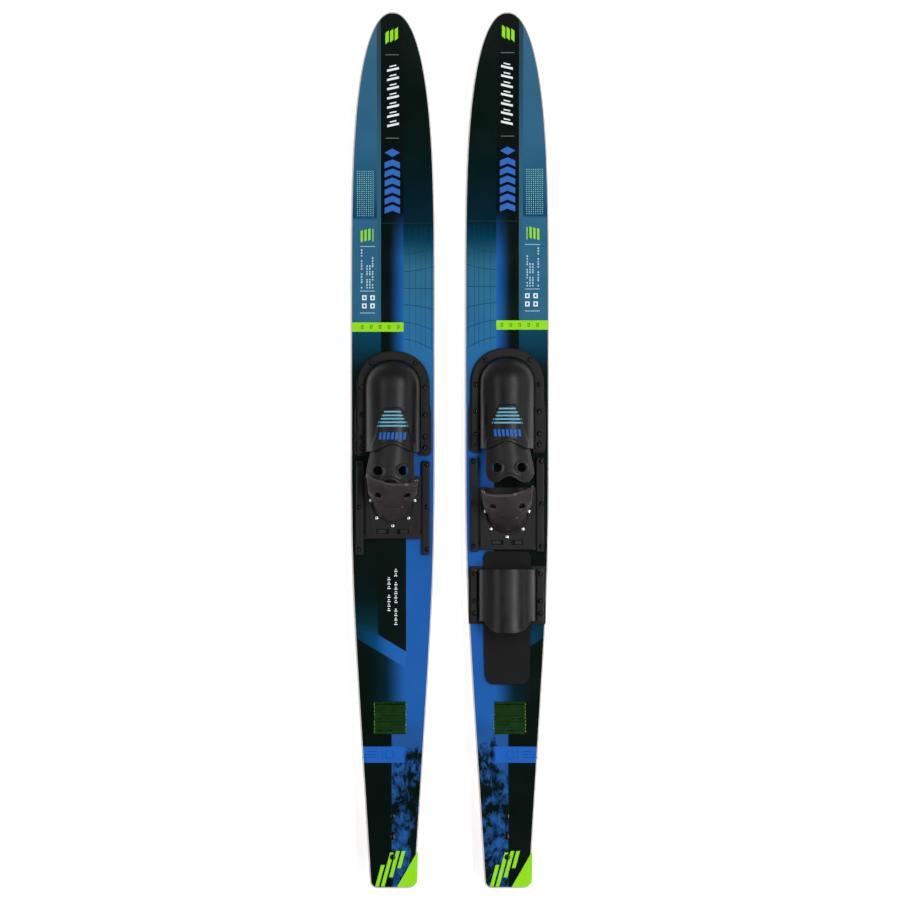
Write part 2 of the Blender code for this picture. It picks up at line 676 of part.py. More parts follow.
def rear_toe(name, side, frame):
    back, front = REAR_BAR
    holes = screw_places("rear", side) + screw_places("rear", -side)
    profile = mirrored([(75, 0.3), (75, 3.3), (47.5, 3.3), (47.5, 2.0)])
    plate = piece(f"{name}_rear_toe_plate", bar_of(profile, back - 4, front + 4), frame,
                  "moulded_plastic")
    cut(plate, drills(holes, CLEARANCE, -30, 90))
    outline = [(57.6, back + 3), (60.0, back), (69.0, back), (71.0, back + 3),
               (70.2, front - 3), (68.5, front), (60.5, front), (58.2, front - 3)]
    for place, sign in (("outer", side), ("inner", -side)):
        bar = piece(f"{name}_rear_toe_bar_{place}",
                    plate_of([(sign * x, s) for x, s in outline], 6.9, 12.7), frame,
                    "moulded_plastic")
        sunk_holes(bar, screw_places("rear", sign), 10.2, 4.4)
        screw_group(f"{name}_rear_toe_screws_{place}", "rear", sign, frame, 12.5)

    low, high = PAD
    pad = piece(f"{name}_rear_toe_pad", plate_of(mirrored(
        [(30, low), (38, low + 4), (43, low + 14), (45, low + 60), (46, back - 6), (46, front + 6),
         (46.5, high - 18), (43, high - 6), (36, high)]), GAP, 6.3), frame, "foam")
    cut(pad, box((-60, 60), (back - 6, front + 6), (-13, 2.3)))
    rear_strap(name, frame, holes)


def rear_strap(name, frame, holes):
    """An arched rubber strap under the two bars, with a scooped rear edge."""
    back, front = REAR_BAR
    flange = 70.4
    half_row = [(-flange, 0)] + [(None, a) for a in (0, 14, 28, 42, 56, 70)]
    across = half_row + [(None, 90)] + [(-x if x else None, 180 - a) for x, a in reversed(half_row)]
    scooped = 0.0
    rows = []
    for s in (front - 4.0, front - 35.0, front - 70.0, back + 1.0, scooped):
        row = []
        for at_edge, angle in across:
            c, up = arc_power(math.radians(angle), 2.4)
            x = at_edge or -56.4 * c
            at = s or back + 1.0 - 24.5 * (1 - (abs(x) / 46) ** 4)
            crown = 58.0 + 2.5 * math.cos((at - (front + back) / 2) / 30)
            row.append((x, at, 6.6 + (0 if at_edge else crown * max(up, 0))))
        rows.append(row)

    def skirted(r, c):
        return r < 3 or 4 <= c < 10
    strap = skin(f"{name}_rear_toe_strap", rows, RUBBER, frame, "rubber", skirted)
    cut(strap, drills(holes, CLEARANCE, -30, 14))


# ---- putting the pair together ----

def resting_pitch():
    """The angle that brings the fin's lower edge and the belly onto one plane."""
    return min(math.atan2(base_z(s) + FIN_DEPTH, s - FIN_CONTACT)
               for s in STATIONS if s > FLAT_FROM)


def rested(s, z, pitch):
    """Where a point of the ski's frame comes to lie, along and up, once the ski is pitched."""
    return (s * math.cos(pitch) + z * math.sin(pitch), z * math.cos(pitch) - s * math.sin(pitch))


def main():
    for thing in list(bpy.data.objects):
        bpy.data.objects.remove(thing)
    collection(PARTS, False)
    collection(CUTTERS, True)
    pitch = resting_pitch()
    tail, tip = rested(0, TAIL_RISE, pitch)[0], rested(LENGTH, TIP_RISE + TIP_THICK, pitch)[0]
    floor = rested(FIN_CONTACT, -FIN_DEPTH, pitch)[1]
    pair = empty("pair", None, (0, -(tail + tip) / 2, -floor))
    for name, side in (("left", -1), ("right", 1)):
        ski = empty(f"{name}_ski_frame", pair, (side * SPACING / 2, 0, 0))
        ski.rotation_euler.x = -pitch
        ski_body(name, side, ski)
        fin(name, ski, pitch)
        toe = empty(f"{name}_toe_frame_origin", ski, (0, TOE_SHIFT if side > 0 else 0, DECK))
        toe_binding(name, side, toe)
        rails(name, side, toe)
        heel = empty(f"{name}_heel_slide_axis", ski, (0, HEEL_REAR[name], DECK))
        heel_binding(name, side, heel)
        lock_spring(name, heel)
        for place, sign in (("outer", side), ("inner", -side)):
            lock(name, place, sign, empty(f"{name}_lock_{place}_axis", heel, (0, LOCK_AT, 0)))
        if side > 0:
            rear_toe(name, side, empty(f"{name}_rear_toe_origin", ski, (0, 0, DECK)))


main()
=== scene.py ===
"""Looks for the pair of combination water skis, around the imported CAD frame.

Most pieces are built in one ski's own frame, in millimetres: x across, s along from the tail to
the tip, z up from the flat belly of the base. A ski's matrix carries them into the row frame.
"""

import json
import math

import bmesh
import bpy
import numpy as np
from mathutils import Matrix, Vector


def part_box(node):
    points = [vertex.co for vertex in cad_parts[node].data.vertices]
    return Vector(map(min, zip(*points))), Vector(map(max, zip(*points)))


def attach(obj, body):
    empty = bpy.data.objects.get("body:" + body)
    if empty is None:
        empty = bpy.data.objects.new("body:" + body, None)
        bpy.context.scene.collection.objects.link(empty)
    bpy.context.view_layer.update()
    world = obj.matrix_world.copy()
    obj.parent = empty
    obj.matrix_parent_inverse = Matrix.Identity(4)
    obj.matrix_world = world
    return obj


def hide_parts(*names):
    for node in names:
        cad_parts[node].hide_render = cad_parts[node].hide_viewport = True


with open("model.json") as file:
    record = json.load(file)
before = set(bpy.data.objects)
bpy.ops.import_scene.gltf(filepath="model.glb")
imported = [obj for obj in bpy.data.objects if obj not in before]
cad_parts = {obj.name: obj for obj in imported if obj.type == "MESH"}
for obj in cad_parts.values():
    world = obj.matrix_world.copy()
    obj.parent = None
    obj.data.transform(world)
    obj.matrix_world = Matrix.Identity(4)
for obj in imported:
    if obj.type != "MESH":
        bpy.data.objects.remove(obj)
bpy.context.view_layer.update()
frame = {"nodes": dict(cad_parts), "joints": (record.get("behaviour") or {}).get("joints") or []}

MM = 0.001

# Ski, in its own millimetres
LENGTH, HALF_WIDTH = 1701.8, 82.8
FLAT_FROM, FLAT_TO = 380.0, 1150.0
DECK, TAIL_THICK, TIP_THICK = 13.0, 9.0, 8.0
TIP_RISE, TAIL_RISE = 105.0, 8.0
RIM, FLOOR_THICK, SKIN, TUNNEL = 2.9, 3.2, 1.2, 1.8
FIN_FROM, FIN_TO, FIN_DEPTH, FIN_CONTACT = 45.0, 160.0, 50.0, 100.0
FIN_SCREWS = (61.4, 100.9, 140.4)

# Toe binding
TOE_SHIFT = {"left": 0.0, "right": 6.2}
NOSE, ARCH = 1043.9, 975.0
FRAME_OUT, FRAME_BAND, FRAME_REAR = 69.0, 14.2, 847.8
TOE_SCREWS = ((20.0, 43.0), (67.8, 61.5), (120.8, 61.5), (165.0, 61.5), (185.5, 61.5))
DOME_HALF, DOME_NOSE, DOME_FOOT, DOME_WALL, DOME_POWER = 53.4, 53.7, 8.4, 5.6, 2.3

PLATE_TOP = DECK + 5.3         # top of the plastic plate under the toe rubber
BINDING_TOP = DECK + 12.7      # top of the clamps, the heel plate and the rear bars

# Heel binding
RAIL_IN, RAIL_OUT, RAIL_LONG, RAIL_FRONT = 56.5, 72.0, 183.0, 832.4
RAIL_SCREW_X, RAIL_SCREWS = 66.5, (7.0, 89.4, 172.4)
PLATE_HALF, PLATE_LONG = 52.8, 121.5
HEEL_REAR = {"left": 680.6, "right": 659.2}
HEEL_SCREWS = ((0.0, 25.3), (31.0, 40.3), (42.3, 74.8), (45.2, 111.6))
LOCK_AT = 13.9
CUP_HOLE_X, CUP_HOLE_UP, CUP_HOLE = 28.0, 72.0, 6.8
FLAP_HOLE_X = 24.5

# Rear toe piece
BAR_BACK, BAR_FRONT = 519.0, 623.4
REAR_SCREW_X, REAR_SCREWS = 64.0, (11.0, 63.7, 88.4)
PAD_BACK, PAD_FRONT = 397.0, 656.5

# Screws
SHANK, HEAD_TALL = 1.8, 2.2
NUT_STRIP = (7.6, DECK - 4.3, DECK - 1.8)      # width, bottom and top
ABOVE = 60.0                   # cutters for the screws start above the plates

# Print
PRINT_LIFT = 0.12              # printed marks stand this far above what they are printed on
DOT = 0.85                     # half the width of a dot of the dotted panel
EDGE_BLUR = 0.35               # half the width of a printed edge
PANEL_BACK, PANEL_FRONT = 1102.0, 1306.0
NOTICE_BACK, NOTICE_FRONT, NOTICE_OUT, NOTICE_IN = 300, 364, -36, 26

SIDES = {"left": -1, "right": 1}


# ---- the skis' frames ----

slide = next(j["axis"] for j in frame["joints"] if j["name"] == "left_heel_slide")
PITCH = math.atan2(-slide[2], slide[1])
TAIL_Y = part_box("left_base_shell")[0].y - TAIL_RISE * MM * math.sin(PITCH)
BELLY_Z = (FIN_CONTACT * math.sin(PITCH) + FIN_DEPTH * math.cos(PITCH)) * MM


def ski_matrix(name):
    low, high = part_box(f"{name}_base_shell")
    place = Matrix.Translation(((low.x + high.x) / 2, TAIL_Y, BELLY_Z))
    return place @ Matrix.Rotation(-PITCH, 4, "X")


MATRIX = {name: ski_matrix(name) for name in SIDES}


# ---- small sums ----

def smooth(x):
    x = np.clip(x, 0.0, 1.0)
    return x * x * (3 - 2 * x)


def ridge(distance, near, far, soft=1.2):
    """1 between the two distances and 0 beyond them, with soft shoulders."""
    return smooth((distance - near) / soft) * smooth((far - distance) / soft)


def powered(angle, power):
    """Cosine and sine of a rounded-square curve."""
    c, s = np.cos(angle), np.sin(angle)
    return (np.copysign(np.abs(c) ** (2 / power), c), np.copysign(np.abs(s) ** (2 / power), s))


def half_width(s, inset=0.0):
    """Half the outline's width at s, with the whole outline moved inwards by inset."""
    if s > 1100:
        along = min((s - 1100) / (602 - inset), 1.0)
        return max((HALF_WIDTH - inset) * (1 - along ** 3.6) ** (1 / 2.2), 3.5 - inset)
    taper = 0.0627 * 70 * math.log(1 + math.exp((622 - s) / 70))
    corner, into = 14 - inset, s - inset
    nip = corner - math.sqrt(corner ** 2 - (corner - into) ** 2) if into < corner else 0.0
    return HALF_WIDTH - inset - taper - nip


def base_z(s):
    if s > FLAT_TO:
        return TIP_RISE * ((s - FLAT_TO) / (LENGTH - FLAT_TO)) ** 2.2
    return TAIL_RISE * (max(FLAT_FROM - s, 0) / FLAT_FROM) ** 2


def top_z(s):
    if s > FLAT_TO:
        return base_z(s) + DECK + (TIP_THICK - DECK) * (s - FLAT_TO) / (LENGTH - FLAT_TO)
    return base_z(s) + DECK + (TAIL_THICK - DECK) * max(FLAT_FROM - s, 0) / FLAT_FROM


def stations(inset=0.0):
    """Places along the ski, close together where the outline turns."""
    tail = [inset + 15 * (k / 10) ** 2 for k in range(11)]
    middle = list(np.arange(22.0, LENGTH - inset - 66, 8.0))
    tip = [LENGTH - inset - 62 * (1 - k / 26) ** 2 for k in range(27)]
    return tail + middle + tip


# ---- skins: points in millimetres, and faces ----

def both_sides(right):
    """The mirror images of the points on the right, then the points themselves."""
    return [(-p[0], *p[1:]) for p in reversed(right)] + list(right)


def loft(rings):
    """A closed skin through equal rings of points, with both ends capped."""
    count, last = len(rings[0]), (len(rings) - 1) * len(rings[0])
    faces = [(r + k, r + (k + 1) % count, r + (k + 1) % count + count, r + k + count)
             for r in range(0, last, count) for k in range(count)]
    faces += [tuple(reversed(range(count))), tuple(range(last, last + count))]
    return [tuple(p) for ring in rings for p in ring], faces


def prism(outline, low, high):
    return loft([[(x, s, z) for x, s in outline] for z in (low, high)])


def block(x0, x1, s0, s1, z0, z1):
    return prism([(x0, s0), (x1, s0), (x1, s1), (x0, s1)], z0, z1)


def turned(x, s, profile, sides=28):
    """A round solid on a vertical axis; profile lists (radius, height) from the top down."""
    turns = [2 * math.pi * (k + 0.5) / sides for k in range(sides)]
    return loft([[(x + r * math.cos(t), s + r * math.sin(t), z) for t in turns]
                 for r, z in profile])


def band(outer, inner, low, high):
    """A flat strip between two paths of equal point counts."""
    return loft([[(a[0], a[1], low), (a[0], a[1], high), (b[0], b[1], high), (b[0], b[1], low)]
                 for a, b in zip(outer, inner)])


def ribbon(path, width):
    """The two edges of a ribbon of even width along a path of (x, s) points."""
    path = np.array(path, float)
    along = np.gradient(path, axis=0)
    along /= np.linalg.norm(along, axis=1)[:, None]
    side = np.stack([-along[:, 1], along[:, 0]], axis=1) * width / 2
    return (path + side).tolist(), (path - side).tolist()


def grid(rows, keep=None):
    """An open skin through rows of points."""
    count = len(rows[0])
    faces = [(r * count + c, (r + 1) * count + c, (r + 1) * count + c + 1, r * count + c + 1)
             for r in range(len(rows) - 1) for c in range(count - 1)
             if keep is None or keep(r, c)]
    return [tuple(p) for row in rows for p in row], faces


def closed_wall(outside, inside):
    """A closed skin between two grids of points that match row by row."""
    rows, count = len(outside), len(outside[0])
    far = rows * count
    faces = []
    for r in range(rows - 1):
        for c in range(count - 1):
            a = r * count + c
            faces += [(a, a + count, a + count + 1, a + 1),
                      (far + a, far + a + 1, far + a + count + 1, far + a + count)]
    edge = (list(range(count)) + [r * count + count - 1 for r in range(1, rows)]
            + [far - 1 - c for c in range(1, count)] + [r * count for r in range(rows - 2, 0, -1)])
    faces += [(a, b, far + b, far + a) for a, b in zip(edge, edge[1:] + edge[:1])]
    return [tuple(p) for row in list(outside) + list(inside) for p in row], faces


# ---- objects from skins ----

def weld(mesh, turn_out):
    work = bmesh.new()
    work.from_mesh(mesh)
    bmesh.ops.remove_doubles(work, verts=work.verts, dist=2e-6)
    bmesh.ops.dissolve_degenerate(work, edges=work.edges, dist=2e-6)
    loose = [v for v in work.verts if not v.link_faces]
    bmesh.ops.delete(work, geom=loose, context="VERTS")
    if turn_out:
        bmesh.ops.recalc_face_normals(work, faces=work.faces)
    work.to_mesh(mesh)
    work.free()


def thing_of(name, *skins, turn_out=True):
    points, faces = [], []
    for more_points, more_faces in skins:
        faces += [tuple(i + len(points) for i in f) for f in more_faces]
        points += more_points
    mesh = bpy.data.meshes.new(name)
    mesh.from_pydata([(x * MM, s * MM, z * MM) for x, s, z in points], [], faces)
    thing = bpy.data.objects.new(name, mesh)
    bpy.context.scene.collection.objects.link(thing)
    weld(mesh, turn_out)
    return thing


def settle(thing):
    """Turns the object's modifiers into plain mesh."""
    view = bpy.context.evaluated_depsgraph_get()
    made = bpy.data.meshes.new_from_object(thing.evaluated_get(view))
    thing.modifiers.clear()
    old, thing.data = thing.data, made
    bpy.data.meshes.remove(old)


def rounded(thing, width, segments=3, angle=40):
    edge = thing.modifiers.new("edge", "BEVEL")
    edge.width, edge.segments, edge.limit_method = width * MM, segments, "ANGLE"
    edge.angle_limit = math.radians(angle)
    settle(thing)
    return thing


def carved(thing, *skins):
    tool = thing_of("tool", *skins)
    change = thing.modifiers.new("cut", "BOOLEAN")
    change.solver, change.operation, change.object = "EXACT", "DIFFERENCE", tool
    change.use_self = True
    settle(thing)
    bpy.data.objects.remove(tool)
    return thing


def thick_sheet(name, skin, thick, edge=0.7):
    """A rubber sheet grown inwards from its outer face, with soft edges."""
    thing = thing_of(name, skin, turn_out=False)
    grow = thing.modifiers.new("grow", "SOLIDIFY")
    grow.thickness, grow.offset, grow.use_even_offset = thick * MM, -1.0, True
    settle(thing)
    return rounded(thing, edge, 2, 55)


def seat(thing, ski, body, slot, nodes=(), angle=40, look=None):
    """Puts a finished piece on its ski: its material, its body and the CAD nodes it stands for."""
    thing.data.transform(MATRIX[ski])
    thing.data.polygons.foreach_set("use_smooth", [True] * len(thing.data.polygons))
    thing.data.set_sharp_from_angle(angle=math.radians(angle))
    if angle < 50:
        flat = thing.modifiers.new("flat faces", "WEIGHTED_NORMAL")
        flat.keep_sharp, flat.weight = True, 60
        settle(thing)
    thing.data.materials.clear()
    thing.data.materials.append(look or LOOKS[slot])
    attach(thing, f"{ski}_{body}")
    if nodes:
        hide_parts(*[f"{ski}_{node}" for node in nodes])
    return thing


# ---- materials ----

EXPOSURE = 1.11                # share of a printed colour that the studio light gives back


def rgb(code, gain=1.0):
    """A linear colour from a printed colour's hex code."""
    values = [int(code[k:k + 2], 16) / 255 for k in (1, 3, 5)]
    linear = [v / 12.92 if v <= 0.04045 else ((v + 0.055) / 1.055) ** 2.4 for v in values]
    return (*[min(v * gain / EXPOSURE, 1.0) for v in linear], 1.0)


class Look:
    """A material's node tree, with short calls for the nodes it uses."""

    def __init__(self, name):
        self.material = bpy.data.materials.new(name)
        self.material.use_nodes = True
        self.tree = self.material.node_tree
        self.shader = self.tree.nodes["Principled BSDF"]
        self.place = self.node("ShaderNodeTexCoord").outputs["Object"]

    def node(self, kind, inputs=None, **settings):
        made = self.tree.nodes.new(kind)
        for key, value in settings.items():
            setattr(made, key, value)
        for key, value in (inputs or {}).items():
            self.put(made.inputs[key], value)
        return made

    def put(self, socket, value):
        if isinstance(value, bpy.types.NodeSocket):
            self.tree.links.new(value, socket)
        else:
            socket.default_value = value

    def sum(self, operation, *values):
        made = self.node("ShaderNodeMath", operation=operation)
        for socket, value in zip(made.inputs, values):
            self.put(socket, value)
        return made.outputs[0]

    def rise(self, value, low, high, start=0.0, end=1.0):
        """value from low to high becomes start to end, and is held beyond them."""
        return self.node("ShaderNodeMapRange", {"Value": value, "From Min": low, "From Max": high,
                                                "To Min": start, "To Max": end}).outputs[0]

    def both(self, *masks):
        result = masks[0]
        for mask in masks[1:]:
            result = self.sum("MULTIPLY", result, mask)
        return result

    def mix(self, below, above, mask):
        made = self.node("ShaderNodeMix", data_type="RGBA")
        for index, value in ((0, mask), (6, below), (7, above)):
            self.put(made.inputs[index], value)
        return made.outputs[2]

    def ramp(self, value, low, high, stops):
        """Colours along a value: stops are (value, colour)."""
        made = self.node("ShaderNodeValToRGB", {"Fac": self.rise(value, low, high)})
        elements = made.color_ramp.elements
        elements.remove(elements[1])
        for k, (at, colour) in enumerate(sorted(stops)):
            spot = (at - low) / (high - low)
            if k:
                element = elements.new(spot)
            else:
                element = elements[0]
                element.position = spot
            element.color = colour if isinstance(colour, tuple) else rgb(colour)
        return made.outputs[0]

    def noise(self, scale, detail=3.0, rough=0.5, stretch=(1, 1, 1), distortion=0.0):
        place = self.place
        if stretch != (1, 1, 1):
            place = self.node("ShaderNodeMapping", {"Vector": place, "Scale": stretch}).outputs[0]
        return self.node("ShaderNodeTexNoise", {"Vector": place, "Scale": scale, "Detail": detail,
                                                "Roughness": rough, "Distortion": distortion}
                         ).outputs["Fac"]

    def relief(self, height, depth, strength):
        """Bump from a 0 to 1 height, depth millimetres deep."""
        bump = self.node("ShaderNodeBump", {"Height": height, "Distance": depth * MM,
                                            "Strength": strength})
        self.put(self.shader.inputs["Normal"], bump.outputs[0])

    def set(self, **values):
        for key, value in values.items():
            self.put(self.shader.inputs[key.replace("_", " ")], value)
        return self.material


def moulded(name, colour, lighter, rough, grain, depth, edge_highlight, shine):
    """Moulded plastic or rubber: fine grain, mottled tone and gloss, and a painted highlight that
    mixes convex edges towards a paler colour.
    """
    look = Look(name)
    cloud = look.noise(26.0, 4.0)
    fine = look.noise(grain, 2.0, 0.6)
    tone = look.mix(rgb(colour), rgb(lighter), look.rise(cloud, 0.32, 0.72))
    # painted highlight: convex edges, found from the mesh's pointiness, are mixed in patches towards
    # a paler colour
    convexity = look.node("ShaderNodeNewGeometry").outputs["Pointiness"]
    edge = look.both(look.rise(convexity, 0.53, 0.62), look.rise(fine, 0.3, 0.7, 0.35, 1.0))
    tone = look.mix(tone, rgb(edge_highlight), look.sum("MULTIPLY", edge, 0.45))
    look.relief(fine, depth, 0.55)
    return look.set(Base_Color=tone, Specular_IOR_Level=shine,
                    Roughness=look.rise(cloud, 0.3, 0.75, rough - 0.05, rough + 0.07))


def steel(name, colour, rough):
    look = Look(name)
    brush = look.noise(900.0, 2.0, 0.5, (1, 6, 1))
    tone = look.mix(rgb(colour), rgb("#b9babd"), look.rise(brush, 0.55, 0.9, 0.0, 0.35))
    look.relief(brush, 0.01, 0.3)
    return look.set(Base_Color=tone, Metallic=1.0,
                    Roughness=look.rise(brush, 0.3, 0.8, rough - 0.06, rough + 0.1))


def ink(name, colour, rough=0.12, shine=0.5):
    """A printed mark: even colour, very slightly uneven, as glossy as what it is printed on."""
    look = Look(name)
    cloud = look.noise(60.0, 3.0)
    tone = look.mix(rgb(colour, 0.94), rgb(colour, 1.06), cloud)
    return look.set(Base_Color=tone, Specular_IOR_Level=shine,
                    Roughness=look.rise(cloud, 0.3, 0.7, rough, rough + 0.06))


def wood():
    look = Look("core_wood")
    rings = look.noise(9.0, 4.0, 0.6, (12, 1, 12), 0.8)
    tone = look.mix(rgb("#d8be8e"), rgb("#b08b58"), look.rise(rings, 0.35, 0.7))
    look.relief(rings, 0.05, 0.3)
    return look.set(Base_Color=tone, Roughness=look.rise(rings, 0.3, 0.7, 0.55, 0.7))


def deck_print(ski):
    """The printed top sheet, laid out from the centreline: across is outwards negative."""
    look = Look(f"{ski}_deck_print")
    side, ahead = SIDES[ski], 4.0 if ski == "right" else 0.0
    home = MATRIX[ski].inverted()
    look.place = look.node("ShaderNodeMapping", {
        "Vector": look.place, "Location": home.to_translation(),
        "Rotation": home.to_euler()}).outputs[0]
    parts = look.node("ShaderNodeSeparateXYZ", {"Vector": look.place})
    across = look.sum("MULTIPLY", parts.outputs[0], -side / MM)
    along = look.sum("DIVIDE", parts.outputs[1], MM)
    upper = look.sum("SUBTRACT", along, ahead)
    rise, both = look.rise, look.both

    def step(value, at, soft=EDGE_BLUR):
        return rise(value, at - soft, at + soft)

    def below(value, at, soft=EDGE_BLUR):
        return rise(value, at - soft, at + soft, 1.0, 0.0)

    def slanted(slope):
        return look.sum("ADD", along, look.sum("MULTIPLY", across, slope))

    inner = look.ramp(upper, 0, LENGTH, [
        (850, "#1f57a1"), (1040, "#28689a"), (1210, "#29637f"), (1265, "#01364c"),
        (1295, "#011f2d"), (1400, "#021719"), (1500, "#04120c"), (LENGTH, "#0b1512")])
    glow = look.ramp(across, -23, 21, [(-9, "#05120f"), (-4, "#071a26"), (2.5, "#0d3352"),
                                       (20.6, "#1c5aa6")])
    lit = both(rise(upper, 1318, 1225), step(along, 1000, 20))
    centre = look.mix(rgb("#060f0d"), glow, lit)
    outer = look.ramp(upper, 0, LENGTH, [
        (940, "#091410"), (1010, "#071b20"), (PANEL_BACK - 7, "#08425c"), (PANEL_BACK, "#2a5e7c"),
        (PANEL_FRONT - 0.5, "#2c607e"), (PANEL_FRONT + 0.5, "#053d64"), (1360, "#195473"),
        (1450, "#2c5c7c"), (1640, "#32607a"), (LENGTH, "#40606f")])
    strip = look.ramp(upper, 0, LENGTH, [
        (PANEL_BACK - 7, "#0d394f"), (PANEL_BACK, "#2c5a74"), (1380, "#335a70"),
        (1520, "#294c62"), (1600, "#274451"), (LENGTH, "#2b3b47")])

    layers = [inner]

    def paint(shade, *masks):
        """Lays a colour over what is painted so far, where every mask is 1."""
        layers.append(look.mix(layers[-1], shade, both(*masks)))
    paint(centre, below(across, 20.8))
    paint(outer, below(across, -23.3))
    paint(strip, step(across, -31), below(across, -23.3), step(upper, 1086))
    paint(rgb("#2a5e7c"), step(across, -31), below(across, -29.4), step(upper, PANEL_BACK + 2),
          below(upper, PANEL_FRONT))
    paint(rgb("#0b3a3a"), step(upper, 1296.5, 0.6), below(upper, 1298.5, 0.6),
          step(across, -23.3), 0.55)

    # behind the toe binding: black up to the inner blue stripe, with a teal patch outside
    paint(rgb("#081310"), below(across, 26), below(along, 1000, 25))
    patch = look.ramp(along, 470, 640, [(489, "#04384e"), (520, "#032731"), (562, "#061718"),
                                        (620, "#081310")])
    paint(patch, below(across, -29), below(along, 622))
    stripe = look.ramp(across, -72, 26, [(-66, "#022c40"), (-34, "#033f69"), (-9, "#1c58a0"),
                                         (26, "#235ca8")])
    paint(stripe, below(slanted(0.6), 476.6), below(along, 500), below(across, 26),
          step(across, -29.0))
    paint(stripe, below(slanted(0.55), 474, 14), below(across, -27, 2.5), below(along, 500))
    fade = look.ramp(across, -72, 26, [(-46, "#040f0b"), (-12, "#051f2a"), (-2, "#0b3252"),
                                       (24, "#1f58a4")])
    paint(fade, below(slanted(0.6), 444.6, 1.0), below(across, 26))

    # splash of blue on black towards the tail
    streaks = look.noise(46.0, 6.0, 0.72, (1.5, 0.8, 1), 1.6)
    cells = look.node("ShaderNodeTexVoronoi", {"Vector": look.place, "Scale": 46.0,
                                               "Randomness": 1.0}).outputs["Distance"]
    foam_field = look.sum("ADD", streaks, look.sum("MULTIPLY", cells, 0.35))
    bright = look.ramp(along, 0, 330, [(at, (grey, grey, grey, 1)) for at, grey in (
        (90, 0.5), (180, 0.44), (262, 0.56), (318, 0.9))])
    level = look.node("ShaderNodeSeparateColor", {"Color": bright}).outputs[0]
    level = look.sum("ADD", level, rise(across, 14, 60, 0.03, -0.09))
    shade = look.sum("SUBTRACT", look.sum("ADD", level, 0.2), foam_field)
    splash = look.mix(rgb("#05110f"), rgb("#1f5090"), rise(shade, -0.06, 0.14))
    paint(splash, below(along, 320, 12), step(across, -2.2, 1.2))
    dark = both(below(along, 364, 1), below(across, -2.2, 1.2))
    paint(rgb("#040f0b"), dark, below(across, -20, 16))
    paint(rgb("#040f0b"), dark, below(along, 300, 1))
    paint(rgb("#1f5bb0"), step(along, 244.6), below(along, 276), below(across, 24, 3))

    weave = look.noise(700.0, 2.0, 0.5)
    cloud = look.noise(14.0, 3.0)
    tone = look.node("ShaderNodeHueSaturation", {
        "Color": layers[-1], "Value": rise(cloud, 0.3, 0.7, 0.95, 1.05)}).outputs[0]
    look.relief(weave, 0.006, 0.15)
    return look.set(Base_Color=tone, Roughness=rise(cloud, 0.3, 0.7, 0.10, 0.15))


def base_look():
    look = Look("base_plastic")
    cloud = look.noise(18.0, 4.0)
    fine = look.noise(500.0, 2.0)
    tone = look.mix(rgb("#b8b1ad"), rgb("#c6bfbb"), look.rise(cloud, 0.3, 0.7))
    look.relief(fine, 0.02, 0.3)
    return look.set(Base_Color=tone, Roughness=look.rise(cloud, 0.3, 0.7, 0.36, 0.5))


# each entry: colour, lighter mottle, roughness, grain scale, bump depth, painted highlight colour for
# convex edges, specular level
LOOKS = {name: moulded(name, *how) for name, how in {
    "moulded_plastic": ("#09090a", "#0f0f11", 0.46, 1500.0, 0.03, "#3c3c3e", 0.16),
    "frame_plastic": ("#0b0b0d", "#111113", 0.42, 1300.0, 0.035, "#444446", 0.16),
    "rubber": ("#08080a", "#0e0e10", 0.37, 1100.0, 0.03, "#38383a", 0.22),
    "flap_rubber": ("#141213", "#1b191a", 0.4, 1100.0, 0.03, "#7a7678", 0.2),
    "grey_rubber": ("#241f20", "#322c2e", 0.46, 900.0, 0.04, "#8a8486", 0.2),
    "foam": ("#0d0d0e", "#151516", 0.74, 420.0, 0.22, "#2a2a2b", 0.12),
}.items()}
LOOKS["base_plastic"] = base_look()
LOOKS["core_board"] = wood()
LOOKS["screw_steel"] = steel("screw_steel", "#1a1a1c", 0.22)
LOOKS["bright_steel"] = steel("bright_steel", "#d5d6d8", 0.24)

INKS = {name: ink(f"{name}_ink", colour) for name, colour in {
    "lime": "#8bd31d", "white": "#dfe6e6", "pale": "#a9c4cf", "grey": "#5f6c6d",
    "mint": "#8cc0b8", "blue": "#2f62b4", "navy": "#143f80", "grid": "#123c54",
    "olive": "#3a5a10", "green": "#12300f", "coal": "#0a130c"}.items()}
INKS["stripe"] = ink("stripe_ink", "#5f9fb5", 0.55, 0.12)
INKS["cobalt"] = ink("cobalt_ink", "#1f5bb4", 0.55, 0.12)


# ---- ski body ----

def outline_layer(inset, low, high):
    return loft([[(-w, s, low(s)), (w, s, low(s)), (w, s, high(s)), (-w, s, high(s))]
                 for s in stations(inset) for w in [half_width(s, inset)]])


def channel_z(s, across):
    """The base's underside at a share of the half width, with its shallow channel."""
    deep = TUNNEL * float(np.interp(s, [200, 300, 1040, 1150], [0, 1, 1, 0]))
    return base_z(s) + deep * float(1 - smooth((abs(across) - 0.28) / 0.14))


def base_ring(s):
    w = half_width(s)
    edge = min(5.0, 0.3 * w)
    lip = min(0.9, 0.2 * w)
    half = [(f * w, channel_z(s, f)) for f in (0.0, 0.14, 0.28, 0.32, 0.36, 0.40, 0.46, 0.7)]
    half += [(w - edge * (1 - math.sin(a)), base_z(s) + 0.6 * edge * (1 - math.cos(a)))
             for a in np.radians([0, 30, 60, 90])]
    half += [(w, top_z(s) - lip), (w - 0.3 * lip, top_z(s) - 0.3 * lip), (w - lip, top_z(s))]
    return [(-x, s, z) for x, z in reversed(half[1:])] + [(x, s, z) for x, z in half]


